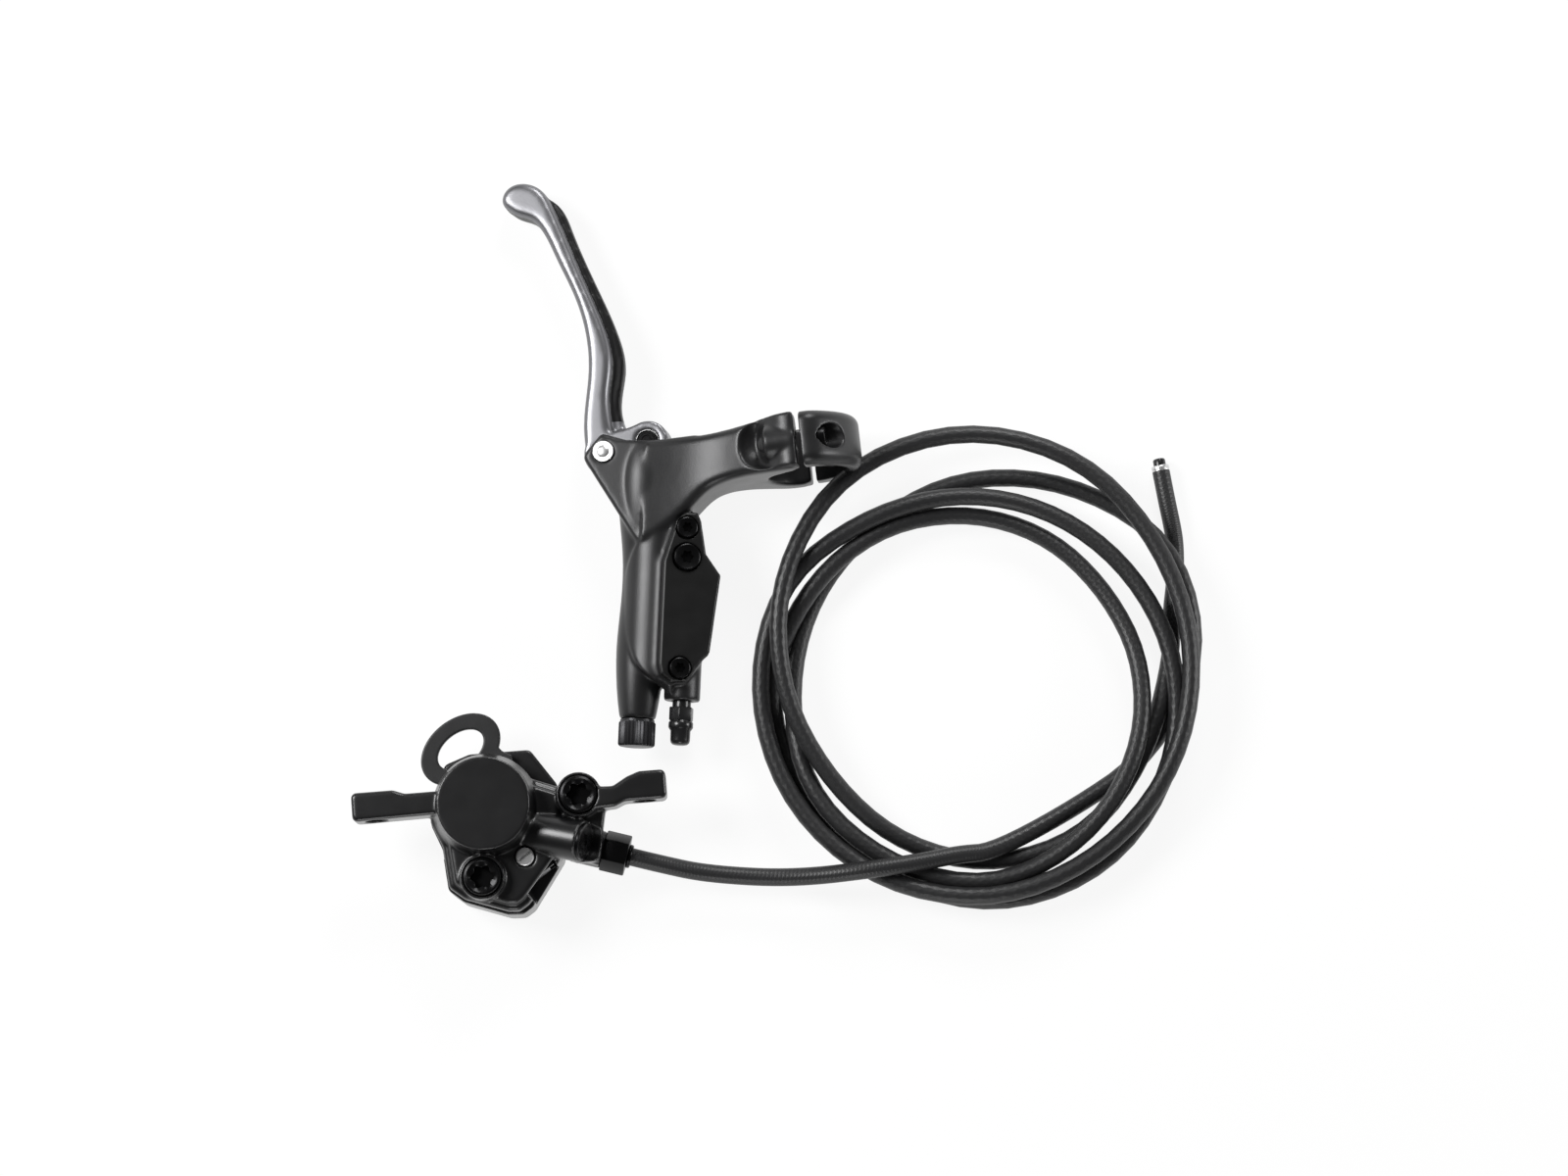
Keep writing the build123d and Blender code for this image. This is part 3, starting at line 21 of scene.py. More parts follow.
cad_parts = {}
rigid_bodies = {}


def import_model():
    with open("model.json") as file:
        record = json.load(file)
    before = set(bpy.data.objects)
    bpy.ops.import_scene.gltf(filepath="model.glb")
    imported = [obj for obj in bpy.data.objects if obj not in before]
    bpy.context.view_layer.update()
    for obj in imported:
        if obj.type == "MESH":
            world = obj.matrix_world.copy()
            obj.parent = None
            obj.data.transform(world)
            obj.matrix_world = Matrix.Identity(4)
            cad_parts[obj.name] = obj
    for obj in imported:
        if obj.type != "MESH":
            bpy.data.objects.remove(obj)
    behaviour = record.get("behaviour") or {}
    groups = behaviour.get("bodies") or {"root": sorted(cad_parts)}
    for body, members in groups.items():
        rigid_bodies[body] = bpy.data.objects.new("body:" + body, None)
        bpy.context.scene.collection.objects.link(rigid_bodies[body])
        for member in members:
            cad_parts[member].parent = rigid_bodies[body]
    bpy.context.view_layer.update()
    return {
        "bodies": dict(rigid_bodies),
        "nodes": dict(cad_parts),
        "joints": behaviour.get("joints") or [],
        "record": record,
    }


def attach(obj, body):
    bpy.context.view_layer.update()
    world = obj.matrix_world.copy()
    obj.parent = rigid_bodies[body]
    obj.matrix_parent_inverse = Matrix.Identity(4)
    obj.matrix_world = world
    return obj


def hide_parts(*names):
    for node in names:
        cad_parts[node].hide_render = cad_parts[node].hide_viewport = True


LOG = logging.getLogger("disc_brake")
MM = 0.001
Point = tuple[float, float, float]
# Half outline of a turned piece: radius and height of each corner
Profile = tuple[tuple[float, float], ...]
# A place on a spline: the points that it follows there, each with its share
Spot = tuple[tuple[int, float], ...]
# Points closer than this are merged
WELD_MM = 0.002
# Edges flatter than these, in degrees, are shaded smooth
SCREW_SMOOTH_DEG = 35.0
HEXAGON_SMOOTH_DEG = 30.0
KNURL_SMOOTH_DEG = 28.0
PLUG_SMOOTH_DEG = 50.0
CASTING_SMOOTH_DEG = 70.0


class Body(str, Enum):
    """Bodies of the frame that pieces ride on."""

    SET = "brake_set"
    LEVER = "lever"
    ROD = "rod"
    KNOB = "knob"
    SPACER = "spacer"


class Socket(Enum):
    """Drive of a screw head."""

    HEX = 6
    STAR = 12


# Colour and nodes


def linear(code: str) -> tuple[float, float, float, float]:
    """Turns an sRGB hex colour into Blender's linear RGBA.

    Args:
        code: Colour as "#rrggbb".

    Returns:
        Linear red, green, blue and an alpha of 1.
    """
    values = [int(code[i : i + 2], 16) / 255 for i in (1, 3, 5)]
    red, green, blue = (v / 12.92 if v <= 0.04045 else ((v + 0.055) / 1.055) ** 2.4 for v in values)
    return (red, green, blue, 1.0)


def add_node(
    tree: bpy.types.NodeTree, kind: str, inputs: dict[str, object], **settings: object
) -> bpy.types.Node:
    """Adds a node, sets its properties and fills or links its inputs.

    Args:
        tree: Node tree of the material or world.
        kind: Node type, such as "ShaderNodeTexNoise".
        inputs: Socket name to a value, or to an output socket that feeds it.
        settings: Properties of the node itself.

    Returns:
        The new node.
    """
    node = tree.nodes.new(kind)
    for name, value in settings.items():
        setattr(node, name, value)
    for name, value in inputs.items():
        socket = node.inputs[int(name)] if name.isdigit() else node.inputs[name]
        if isinstance(value, bpy.types.NodeSocket):
            tree.links.new(value, socket)
        else:
            socket.default_value = value
    return node


def seen_rays(tree: bpy.types.NodeTree) -> bpy.types.NodeSocket:
    """Socket that is 1 for camera, mirror and glass rays, and 0 for the others."""
    rays = add_node(tree, "ShaderNodeLightPath", {})
    either = add_node(
        tree,
        "ShaderNodeMath",
        {"0": rays.outputs["Is Camera Ray"], "1": rays.outputs["Is Glossy Ray"]},
        operation="MAXIMUM",
    )
    every = add_node(
        tree,
        "ShaderNodeMath",
        {"0": either.outputs[0], "1": rays.outputs["Is Transmission Ray"]},
        operation="MAXIMUM",
    )
    return every.outputs[0]


@dataclass(frozen=True)
class Finish:
    """A surface: what it is made of, and how it was made.

    Grain is a fine bump whose size is given in millimetres; mottle is the
    slow change of roughness and shade over a few millimetres.
    """

    name: str
    colour: str
    slot: str
    metallic: float = 0.0
    roughness: float = 0.45
    coat: float = 0.0
    coat_roughness: float = 0.2
    specular: float = 0.5
    grain_mm: float = 0.35
    grain_depth_mm: float = 0.02
    grain_strength: float = 0.3
    mottle_mm: float = 6.0
    mottle: float = 0.06
    stretch: Point = (1.0, 1.0, 1.0)

    def pattern(self, tree: bpy.types.NodeTree) -> bpy.types.NodeSocket:
        """Height of the fine grain, 0 to 1, from the place on the object."""
        place = add_node(tree, "ShaderNodeTexCoord", {})
        spread = add_node(
            tree, "ShaderNodeMapping", {"Vector": place.outputs["Object"], "Scale": self.stretch}
        )
        grain = add_node(
            tree,
            "ShaderNodeTexNoise",
            {
                "Vector": spread.outputs[0],
                "Scale": 1 / (self.grain_mm * MM),
                "Detail": 2.0,
                "Roughness": 0.55,
            },
        )
        return grain.outputs["Fac"]

    def build(self) -> bpy.types.Material:
        """Makes the material once and returns it afterwards."""
        known = bpy.data.materials.get(self.name)
        if known:
            return known
        material = bpy.data.materials.new(self.name)
        material.use_nodes = True
        tree = material.node_tree
        tree.nodes.clear()
        place = add_node(tree, "ShaderNodeTexCoord", {})
        mottle = add_node(
            tree,
            "ShaderNodeTexNoise",
            {"Vector": place.outputs["Object"], "Scale": 1 / (self.mottle_mm * MM), "Detail": 3.0},
        )
        rough = add_node(
            tree,
            "ShaderNodeMapRange",
            {
                "Value": mottle.outputs["Fac"],
                "To Min": self.roughness - self.mottle,
                "To Max": self.roughness + self.mottle,
            },
        )
        base = linear(self.colour)
        shade = add_node(
            tree,
            "ShaderNodeMix",
            {
                "Factor": mottle.outputs["Fac"],
                "6": tuple(c * (1 - 2 * self.mottle) for c in base[:3]) + (1.0,),
                "7": tuple(c * (1 + 2 * self.mottle) for c in base[:3]) + (1.0,),
            },
            data_type="RGBA",
        )
        bump = add_node(
            tree,
            "ShaderNodeBump",
            {
                "Height": self.pattern(tree),
                "Strength": self.grain_strength,
                "Distance": self.grain_depth_mm * MM,
            },
        )
        shader = add_node(
            tree,
            "ShaderNodeBsdfPrincipled",
            {
                "Base Color": shade.outputs[2],
                "Roughness": rough.outputs[0],
                "Metallic": self.metallic,
                "Specular IOR Level": self.specular,
                "Coat Weight": self.coat,
                "Coat Roughness": self.coat_roughness,
                "Normal": bump.outputs[0],
            },
        )
        add_node(tree, "ShaderNodeOutputMaterial", {"Surface": shader.outputs[0]})
        return material


@dataclass(frozen=True)
class BraidedFinish(Finish):
    """Hose cover: a braid pressed through a thin black jacket.

    The two sets of strands wind opposite ways round the hose and show as a
    fine diagonal weave in the highlight.
    """

    length_mm: float = 1700.0
    pitch_mm: float = 2.6
    strands: float = 9.0

    def pattern(self, tree: bpy.types.NodeTree) -> bpy.types.NodeSocket:
        """Height of the weave from the cord's own UV map."""
        place = add_node(tree, "ShaderNodeTexCoord", {})
        split = add_node(tree, "ShaderNodeSeparateXYZ", {"Vector": place.outputs["UV"]})
        waves = []
        for side in (1.0, -1.0):
            along = add_node(
                tree,
                "ShaderNodeMath",
                {"0": split.outputs["X"], "1": tau * self.length_mm / self.pitch_mm},
                operation="MULTIPLY",
            )
            both = add_node(
                tree,
                "ShaderNodeMath",
                {"0": split.outputs["Y"], "1": side * tau * self.strands, "2": along.outputs[0]},
                operation="MULTIPLY_ADD",
            )
            waves.append(add_node(tree, "ShaderNodeMath", {"0": both.outputs[0]}, operation="SINE"))
        top = add_node(
            tree,
            "ShaderNodeMath",
            {"0": waves[0].outputs[0], "1": waves[1].outputs[0]},
            operation="MAXIMUM",
        )
        return top.outputs[0]


# Bead-blasted alloy under satin black paint: the blasting shows as grain
CAST_LEVER = Finish(
    "painted_cast_alloy", "#252526", "casting", metallic=0.5, roughness=0.4, coat=0.3,
    coat_roughness=0.34, grain_mm=0.42, grain_depth_mm=0.06, grain_strength=0.45,
)
# The caliper's paint lies smoother and a little thicker over the casting
CAST_CALIPER = Finish(
    "satin_black_enamel", "#19191a", "casting", metallic=0.45, roughness=0.36, coat=0.5,
    coat_roughness=0.26, grain_mm=0.6, grain_depth_mm=0.02, grain_strength=0.3,
)
# Forged blade, anodised dark grey: brighter than paint where it turns
FORGED_BLADE = Finish(
    "dark_anodised_alloy", "#808083", "blade", metallic=0.9, roughness=0.39, coat=0.1, mottle=0.03,
    grain_mm=0.3, grain_depth_mm=0.004, grain_strength=0.15,
)
# Painted shade: the blade's thin web is coloured near black for the shadow in its recess, while the
# grip band keeps the bright anodised finish
BLADE_WEB_PAINTED_SHADE = Finish(
    "painted_shade_blade_web", "#101011", "blade", metallic=0.5, roughness=0.42, grain_mm=0.3,
    grain_depth_mm=0.02, grain_strength=0.35,
)
# Injection-moulded reservoir cover, deep black with a light texture
COVER_BLACK = Finish(
    "moulded_black_cover", "#070707", "cover", roughness=0.42, grain_mm=0.5, grain_depth_mm=0.02,
    grain_strength=0.25,
)
# Screws and nuts are steel, blackened by hot oxide: dark but glossy
BLACK_OXIDE = Finish(
    "black_oxide_steel", "#141415", "dark_steel", metallic=0.7, roughness=0.28, grain_mm=0.25,
    grain_depth_mm=0.01,
)
# Turned stainless steel shows fine rings and bright edges
BRIGHT_STEEL = Finish(
    "turned_stainless_steel", "#dcdcdc", "steel", metallic=0.9, roughness=0.34, mottle=0.04,
    grain_mm=0.12, grain_depth_mm=0.004,
)
SPRING_STEEL = Finish("drawn_spring_steel", "#8b8b8d", "spring", metallic=1.0, roughness=0.34)
KNURLED_BLACK = Finish(
    "knurled_black_anodised", "#303032", "knob", metallic=0.6, roughness=0.38, grain_mm=0.2,
    grain_depth_mm=0.01,
)
MOULDED_PLUG = Finish(
    "polished_black_nylon", "#1c1c1d", "plug", roughness=0.27, grain_mm=0.8, grain_depth_mm=0.01,
)
MOULDED_SPACER = Finish(
    "moulded_grey_nylon", "#1f1f20", "spacer", roughness=0.42, grain_mm=0.5, grain_depth_mm=0.02,
)
BLACK_RUBBER = Finish("black_nitrile_rubber", "#161616", "rubber", roughness=0.7)
TURNED_BRASS = Finish("turned_brass", "#b9985a", "brass", metallic=1.0, roughness=0.3)
TURNED_ALLOY = Finish("turned_aluminium", "#b4b5b8", "alloy", metallic=1.0, roughness=0.3)
COATED_PLATE = Finish("coated_backing_steel", "#2a2a2b", "backing", metallic=0.5, roughness=0.45)
SINTERED = Finish(
    "sintered_friction_lining", "#5a4f45", "lining", metallic=0.3, roughness=0.8, grain_mm=0.5,
    grain_depth_mm=0.1, grain_strength=0.8,
)
HOSE_JACKET = BraidedFinish(
    "black_braided_hose", "#222223", "hose", roughness=0.43, grain_depth_mm=0.06,
    grain_strength=0.35, mottle_mm=30.0,
)


# Meshes


def finish_piece(
    name: str,
    shape: bmesh.types.BMesh,
    finish: Finish,
    body: Body,
    smooth_deg: float = 40.0,
) -> bpy.types.Object:
    """Turns a mesh in millimetres into a piece of the scene.

    Args:
        name: Name of the piece.
        shape: Mesh in row millimetres; it is freed here.
        finish: Surface of the piece.
        body: Body that the piece rides on.
        smooth_deg: Edges flatter than this are shaded smooth.

    Returns:
        The object, at the origin, in metres.
    """
    bmesh.ops.recalc_face_normals(shape, faces=shape.faces)
    bmesh.ops.scale(shape, vec=(MM, MM, MM), verts=shape.verts)
    for face in shape.faces:
        face.smooth = True
    limit = radians(smooth_deg)
    for edge in shape.edges:
        edge.smooth = edge.is_manifold and edge.calc_face_angle(0.0) < limit
    mesh = bpy.data.meshes.new(name)
    shape.to_mesh(mesh)
    shape.free()
    mesh.materials.append(finish.build())
    piece = bpy.data.objects.new(name, mesh)
    bpy.context.scene.collection.objects.link(piece)
    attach(piece, body.value)
    LOG.info("%s: %d faces", name, len(mesh.polygons))
    return piece


def standing(at: Point, axis: Vector, across: Vector | None = None) -> Matrix:
    """Matrix that puts a piece built along +Z on a point and an axis.

    Args:
        at: Where the piece's own zero goes, in row millimetres.
        axis: Direction that its +Z takes.
        across: Direction near which its +X lies, where that matters.

    Returns:
        The placing matrix.
    """
    up = Vector(axis).normalized()
    spare = Vector((1, 0, 0)) if abs(up.x) < 0.9 else Vector((0, 1, 0))
    hint = Vector(across) if across else spare
    side = (hint - up * hint.dot(up)).normalized()
    turn = Matrix((side, up.cross(side), up)).transposed()
    return Matrix.Translation(Vector(at)) @ turn.to_4x4()


def spun(profile: Profile, steps: int = 64) -> bmesh.types.BMesh:
    """Turns a profile about Z into a closed mesh."""
    shape = bmesh.new()
    verts = [shape.verts.new((r, 0, h)) for r, h in profile]
    edges = [shape.edges.new(pair) for pair in zip(verts, verts[1:])]
    bmesh.ops.spin(
        shape,
        geom=verts + edges,
        cent=(0, 0, 0),
        axis=(0, 0, 1),
        angle=tau,
        steps=steps,
        use_merge=True,
    )
    bmesh.ops.remove_doubles(shape, verts=shape.verts, dist=WELD_MM)
    return shape


def extrude_rim(
    shape: bmesh.types.BMesh, rim: list[bmesh.types.BMEdge], move: Callable[[Vector], Vector]
) -> list[bmesh.types.BMEdge]:
    """Extrudes a closed rim and moves the new rim's points.

    Args:
        shape: Mesh that holds the rim.
        rim: Edges of the rim.
        move: Gives each new point's place from its old one.

    Returns:
        Edges of the new rim.
    """
    grown = bmesh.ops.extrude_edge_only(shape, edges=rim)["geom"]
    for vert in (item for item in grown if isinstance(item, bmesh.types.BMVert)):
        vert.co = move(vert.co)
    return [item for item in grown if isinstance(item, bmesh.types.BMEdge)]


def level(radius: float | None, height: float) -> Callable[[Vector], Vector]:
    """Rule that lifts a rim's point to a height, and to a radius if one is given."""

    def move(place: Vector) -> Vector:
        """Gives a point's new place."""
        flat = Vector((place.x, place.y, 0))
        if radius is not None:
            flat = flat.normalized() * radius
        return Vector((flat.x, flat.y, height))

    return move


def hexagon_bar(corner_r: float, low: float, high: float, bevel: float) -> bmesh.types.BMesh:
    """Makes a bevelled hexagon bar along Z.

    Args:
        corner_r: Radius to its corners.
        low: Height of its lower end.
        high: Height of its upper end.
        bevel: Width of the bevel on every edge.

    Returns:
        The bar as a mesh in millimetres.
    """
    shape = bmesh.new()
    bmesh.ops.create_cone(
        shape,
        cap_ends=True,
        segments=6,
        radius1=corner_r,
        radius2=corner_r,
        depth=high - low,
        matrix=Matrix.Translation((0, 0, (low + high) / 2)),
    )
    bmesh.ops.bevel(
        shape,
        geom=list(shape.edges),
        offset=bevel,
        segments=2,
        profile=0.5,
        affect="EDGES",
        material=-1,
    )
    return shape


@dataclass(frozen=True)
class ScrewHead:
    """Head of a socket screw, on z = 0, with a bevelled rim.

    The dish is how far the top sinks towards the socket.
    """

    radius: float
    high: float
    socket_r: float
    socket_deep: float
    drive: Socket
    dish: float = 0.0
    steps: int = 48
    # How far a star's lobes swing about its mean radius, as a share
    star_swing: float = 0.13
    # Chamfer at the socket's mouth: its depth, and how much wider it opens
    mouth_deep: float = 0.15
    mouth_flare: float = 1.06
    # Where the dish starts and how wide the rim's bevel is, as shares
    dish_r: float = 0.78
    bevel_share: float = 0.16

    def socket_reach(self, turn: float) -> float:
        """How far the socket's wall lies from the middle at an angle."""
        if self.drive is Socket.HEX:
            part = (turn % (tau / 6)) - tau / 12
            return self.socket_r * cos(tau / 12) / cos(part)
        return self.socket_r * (1 - self.star_swing + self.star_swing * cos(6 * turn))

    def build(self) -> bmesh.types.BMesh:
        """Makes the head's mesh in millimetres, from the socket's floor outwards."""
        shape = bmesh.new()
        bmesh.ops.create_circle(shape, cap_ends=True, segments=self.steps, radius=self.socket_r)
        for vert in shape.verts:
            turn = Vector((vert.co.x, vert.co.y)).angle_signed(Vector((1, 0)))
            vert.co = vert.co.normalized() * self.socket_reach(turn)
            vert.co.z = self.high - self.socket_deep
        bevel = self.bevel_share * self.high
        mouth_z = self.high - self.dish
        rim = list(shape.edges)
        for move in (
            level(None, mouth_z - self.mouth_deep),
            lambda p: Vector((p.x * self.mouth_flare, p.y * self.mouth_flare, mouth_z)),
            level(self.radius * self.dish_r, self.high - self.dish / 2),
            level(self.radius - bevel, self.high),
            level(self.radius - 0.3 * bevel, self.high - 0.3 * bevel),
            level(self.radius, self.high - bevel),
            level(self.radius, 0.0),
        ):
            rim = extrude_rim(shape, rim, move)
        bmesh.ops.contextual_create(shape, geom=rim)
        return shape

    def fit(self, name: str, place: Matrix) -> bpy.types.Object:
        """Fits a blackened head of this kind to the brake.

        Args:
            name: Name of the piece.
            place: Placing matrix, in row millimetres.

        Returns:
            The finished piece.
        """
        shape = self.build()
        shape.transform(place)
        return finish_piece(name, shape, BLACK_OXIDE, Body.SET, SCREW_SMOOTH_DEG)


@dataclass
class Skin:
    """A rounded skin over one CAD solid, as a die and a coat of paint leave it.

    The solid's mesh is copied, merged, remeshed evenly and smoothed, so its
    edges get the small radius that a casting has, and its faces stay in place.
    A second finish may cover the faces that a rule picks by their centre.
    The voxel is in millimetres.
    """

    name: str
    node: str
    finish: Finish
    body: Body
    voxel: float = 0.4
    passes: int = 4
    pull: float = 0.5
    second: Finish | None = None
    where: Callable[[Vector], bool] | None = None

    def build(self, frame: dict) -> bpy.types.Object:
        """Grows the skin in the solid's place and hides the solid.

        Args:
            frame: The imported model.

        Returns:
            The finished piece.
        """
        shape = bmesh.new()
        shape.from_mesh(frame["nodes"][self.node].data)
        bmesh.ops.remove_doubles(shape, verts=shape.verts, dist=WELD_MM * MM)
        bmesh.ops.scale(shape, vec=(1 / MM,) * 3, verts=shape.verts)
        raw = bpy.data.meshes.new(self.name + "_raw")
        shape.to_mesh(raw)
        shape.free()
        holder = bpy.data.objects.new(self.name + "_raw", raw)
        bpy.context.scene.collection.objects.link(holder)
        remesh = holder.modifiers.new("even", "REMESH")
        remesh.mode = "VOXEL"
        remesh.voxel_size = self.voxel
        rounding = holder.modifiers.new("round", "SMOOTH")
        rounding.factor = self.pull
        rounding.iterations = self.passes
        graph = bpy.context.evaluated_depsgraph_get()
        grown = bpy.data.meshes.new_from_object(holder.evaluated_get(graph))
        skin = bmesh.new()
        skin.from_mesh(grown)
        for leftover in (holder, grown, raw):
            store = bpy.data.objects if leftover is holder else bpy.data.meshes
            store.remove(leftover)
        if self.second and self.where:
            for face in skin.faces:
                face.material_index = int(self.where(face.calc_center_median()))
        piece = finish_piece(self.name, skin, self.finish, self.body, CASTING_SMOOTH_DEG)
        if self.second:
            piece.data.materials.append(self.second.build())
        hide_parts(self.node)
        return piece


# Sub-assemblies


@dataclass
class LeverSet:
    """Lever casting, blade, clamp, reservoir and the small parts on them."""

    pivot: Point = (40.5, 97.2, 10.5)
    turn_deg: float = 6.83
    tilt_deg: float = 8.0
    cylinder_x: float = 11.8
    cylinder_end_y: float = -74.3
    knob_r: float = 5.15
    knob_long: float = 7.6
    knob_ridges: int = 30
    knob_groove: float = 0.34
    knob_gap: float = 0.1
    # Share of a ridge's swing past which its crest and its groove are flat
    knob_flat: float = 0.6
    knob_face_in: float = 1.3
    # Rims of the knob from its end face: knurled or not, how far in, how high
    knob_rims: tuple[tuple[bool, float, float], ...] = (
        (False, 0.55, 0.12),
        (True, 0.12, 0.45),
        (True, 0.0, 0.8),
        (True, 0.0, 6.6),
        (True, 0.1, 6.85),
        (False, 0.35, 7.0),
        (False, 0.35, 7.6),
    )
    ear_outer_z: float = 7.8
    dome_profile: Profile = ((0, 1.2), (1.0, 1.13), (1.7, 0.9), (2.2, 0.45), (2.25, 0), (0, 0))
    barrel_at: tuple[float, float] = (11.8, 3.8)
    barrel_profile: Profile = (
        (0, 0.35),
        (1.0, 0.35),
        (1.15, 0.1),
        (1.5, 0.1),
        (1.65, 0.4),
        (2.1, 0.4),
        (2.3, 0.1),
        (2.65, 0.1),
        (2.8, 0.3),
        (3.05, 0.2),
        (3.1, -0.2),
        (0, -0.2),
    )
    barrel_sink: float = 0.05
    blade_half: float = 5.0
    # The blade's web: half its thickness with its fillets, and where it starts
    web_half: float = 2.9
    web_start_y: float = 9.5
    plug_at: Point = (24.1, -68.9, 0.0)
    plug_profile: Profile = (
        (0, 6.0),
        (2.6, 6.0),
        (2.6, -1.6),
        (3.05, -1.9),
        (3.05, -5.5),
        (3.3, -5.8),
        (3.45, -6.1),
        (3.45, -7.3),
        (3.3, -7.6),
        (2.8, -8.3),
        (2.75, -10.9),
        (2.6, -11.6),
        (2.1, -12.1),
        (1.3, -12.3),
        (0, -12.3),
    )
    plug_hex_r: float = 3.6
    plug_hex_low: float = -5.4
    plug_hex_high: float = -1.7
    plug_hex_bevel: float = 0.22
    rim_at: Point = (17.6, 0.0, 9.2)
    cover_slope_deg: float = 20.0
    screw_seat: float = 2.3
    cover_screws: tuple[tuple[float, float], ...] = ((6.8, -21.3), (6.5, -60.7))
    cover_head: ScrewHead = ScrewHead(2.9, 1.7, 1.45, 1.3, Socket.STAR, 0.2)
    bleed_screw: tuple[float, float] = (7.1, -29.6)
    bleed_head: ScrewHead = ScrewHead(3.7, 1.9, 1.8, 1.5, Socket.STAR, 0.3)
    clamp_at: tuple[float, float] = (56.0, 3.3)
    clamp_turn_deg: float = 8.8
    clamp_bolt_z: float = 13.4
    clamp_seat: float = 4.6
    clamp_head: ScrewHead = ScrewHead(3.1, 2.9, 1.75, 1.9, Socket.HEX)

    def frame_matrix(self) -> Matrix:
        """Lever frame: pivot at zero, cylinder along -Y, pivot axis +Z."""
        turn = Matrix.Rotation(radians(-self.turn_deg), 4, "Z")
        tip = Matrix.Rotation(radians(-self.tilt_deg), 4, "Y")
        return Matrix.Translation(Vector(self.pivot)) @ turn @ tip

    def local(self, at: Point, axis: Point, across: Point | None = None) -> Matrix:
        """Placing matrix for a point and an axis given in the lever frame."""
        return self.frame_matrix() @ standing(at, Vector(axis), Vector(across) if across else None)

    def cover_place(self, x: float, y: float, height: float) -> Matrix:
        """Placing matrix on the sloping reservoir cover."""
        slope = radians(self.cover_slope_deg)
        across = Vector((cos(slope), 0, -sin(slope)))
        out = Vector((sin(slope), 0, cos(slope)))
        at = Vector(self.rim_at) + across * x + Vector((0, y, 0)) + out * height
        return self.frame_matrix() @ standing(tuple(at), out, across)

    def in_blade_recess(self, centre: Vector) -> bool:
        """Tells whether a point, in row millimetres, is on the blade's thin web."""
        # Faces on the web get the near-black finish, painted shade for the recess
        place = self.frame_matrix().inverted() @ centre
        return abs(place.z) < self.web_half and place.y > self.web_start_y

    def build_castings(self, frame: dict) -> None:
        """Skins over the cast, forged and moulded solids."""
        for skin in (
            Skin("lever_casting", "lever_body", CAST_LEVER, Body.SET, voxel=0.41, passes=20),
            Skin("bar_clamp_cap", "clamp_cap", CAST_LEVER, Body.SET, voxel=0.3, passes=8),
            Skin(
                "forged_blade",
                "lever_blade",
                FORGED_BLADE,
                Body.LEVER,
                voxel=0.33,
                passes=40,
                # The web's near-black second finish is painted shade for its recess
                second=BLADE_WEB_PAINTED_SHADE,
                where=self.in_blade_recess,
            ),
            Skin("cover_moulding", "reservoir_cover", COVER_BLACK, Body.SET, voxel=0.25, passes=2),
        ):
            skin.build(frame)

    def build_pin(self) -> None:
        """Domed bright heads of the pivot pin in their dark rings."""
        for name, side in (("pin_dome_upper", 1), ("pin_dome_lower", -1)):
            dome = spun(self.dome_profile)
            dome.transform(self.local((0, 0, side * self.ear_outer_z), (0, 0, side)))
            finish_piece(name, dome, BRIGHT_STEEL, Body.SET)

    def build_barrel(self) -> None:
        """Stepped end of the trunnion barrel that shows in the lobe."""
        rings = spun(self.barrel_profile)
        height = self.blade_half - self.barrel_sink
        rings.transform(self.local((*self.barrel_at, height), (0, 0, 1)))
        finish_piece("barrel_face", rings, BLACK_OXIDE, Body.ROD)

    def knurl(self, radius: float, height: float) -> Callable[[Vector], Vector]:
        """Rule that lays a rim's point on the knob's ridges and grooves."""

        def move(place: Vector) -> Vector:
            """Gives a point's new place."""
            turn = Vector((place.x, place.y)).angle_signed(Vector((1, 0)))
            swing = cos(self.knob_ridges * turn)
            crest = max(-self.knob_flat, min(self.knob_flat, swing)) / self.knob_flat
            reach = radius - self.knob_groove * (1 - crest) / 2
            return Vector((place.x, place.y, 0)).normalized() * reach + Vector((0, 0, height))

        return move

    def build_knob(self) -> None:
        """Knurled knob: a toothed rim drawn out along the cylinder."""
        shape = bmesh.new()
        bmesh.ops.create_circle(
            shape,
            cap_ends=True,
            segments=4 * self.knob_ridges,
            radius=self.knob_r - self.knob_face_in,
        )
        rim = list(shape.edges)
        for knurled, inside, height in self.knob_rims:
            rule = self.knurl if knurled else level
            rim = extrude_rim(shape, rim, rule(self.knob_r - inside, height))
        bmesh.ops.contextual_create(shape, geom=rim)
        bottom = self.cylinder_end_y - self.knob_gap - self.knob_long
        shape.transform(self.local((self.cylinder_x, bottom, 0), (0, 1, 0)))
        piece = finish_piece("knurled_knob", shape, KNURLED_BLACK, Body.KNOB, KNURL_SMOOTH_DEG)
        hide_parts("end_knob")

    def build_plug(self) -> None:
        """Shipping plug: neck, hexagon, collar and rounded nose."""
        place = self.local(self.plug_at, (0, 1, 0))
        nose = spun(self.plug_profile)
        nose.transform(place)
        piece = finish_piece("shipping_plug", nose, MOULDED_PLUG, Body.SET, PLUG_SMOOTH_DEG)
        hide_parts("port_plug")
        hexagon = hexagon_bar(
            self.plug_hex_r, self.plug_hex_low, self.plug_hex_high, self.plug_hex_bevel
        )
        hexagon.transform(place)
        finish_piece("plug_hexagon", hexagon, MOULDED_PLUG, Body.SET, HEXAGON_SMOOTH_DEG)

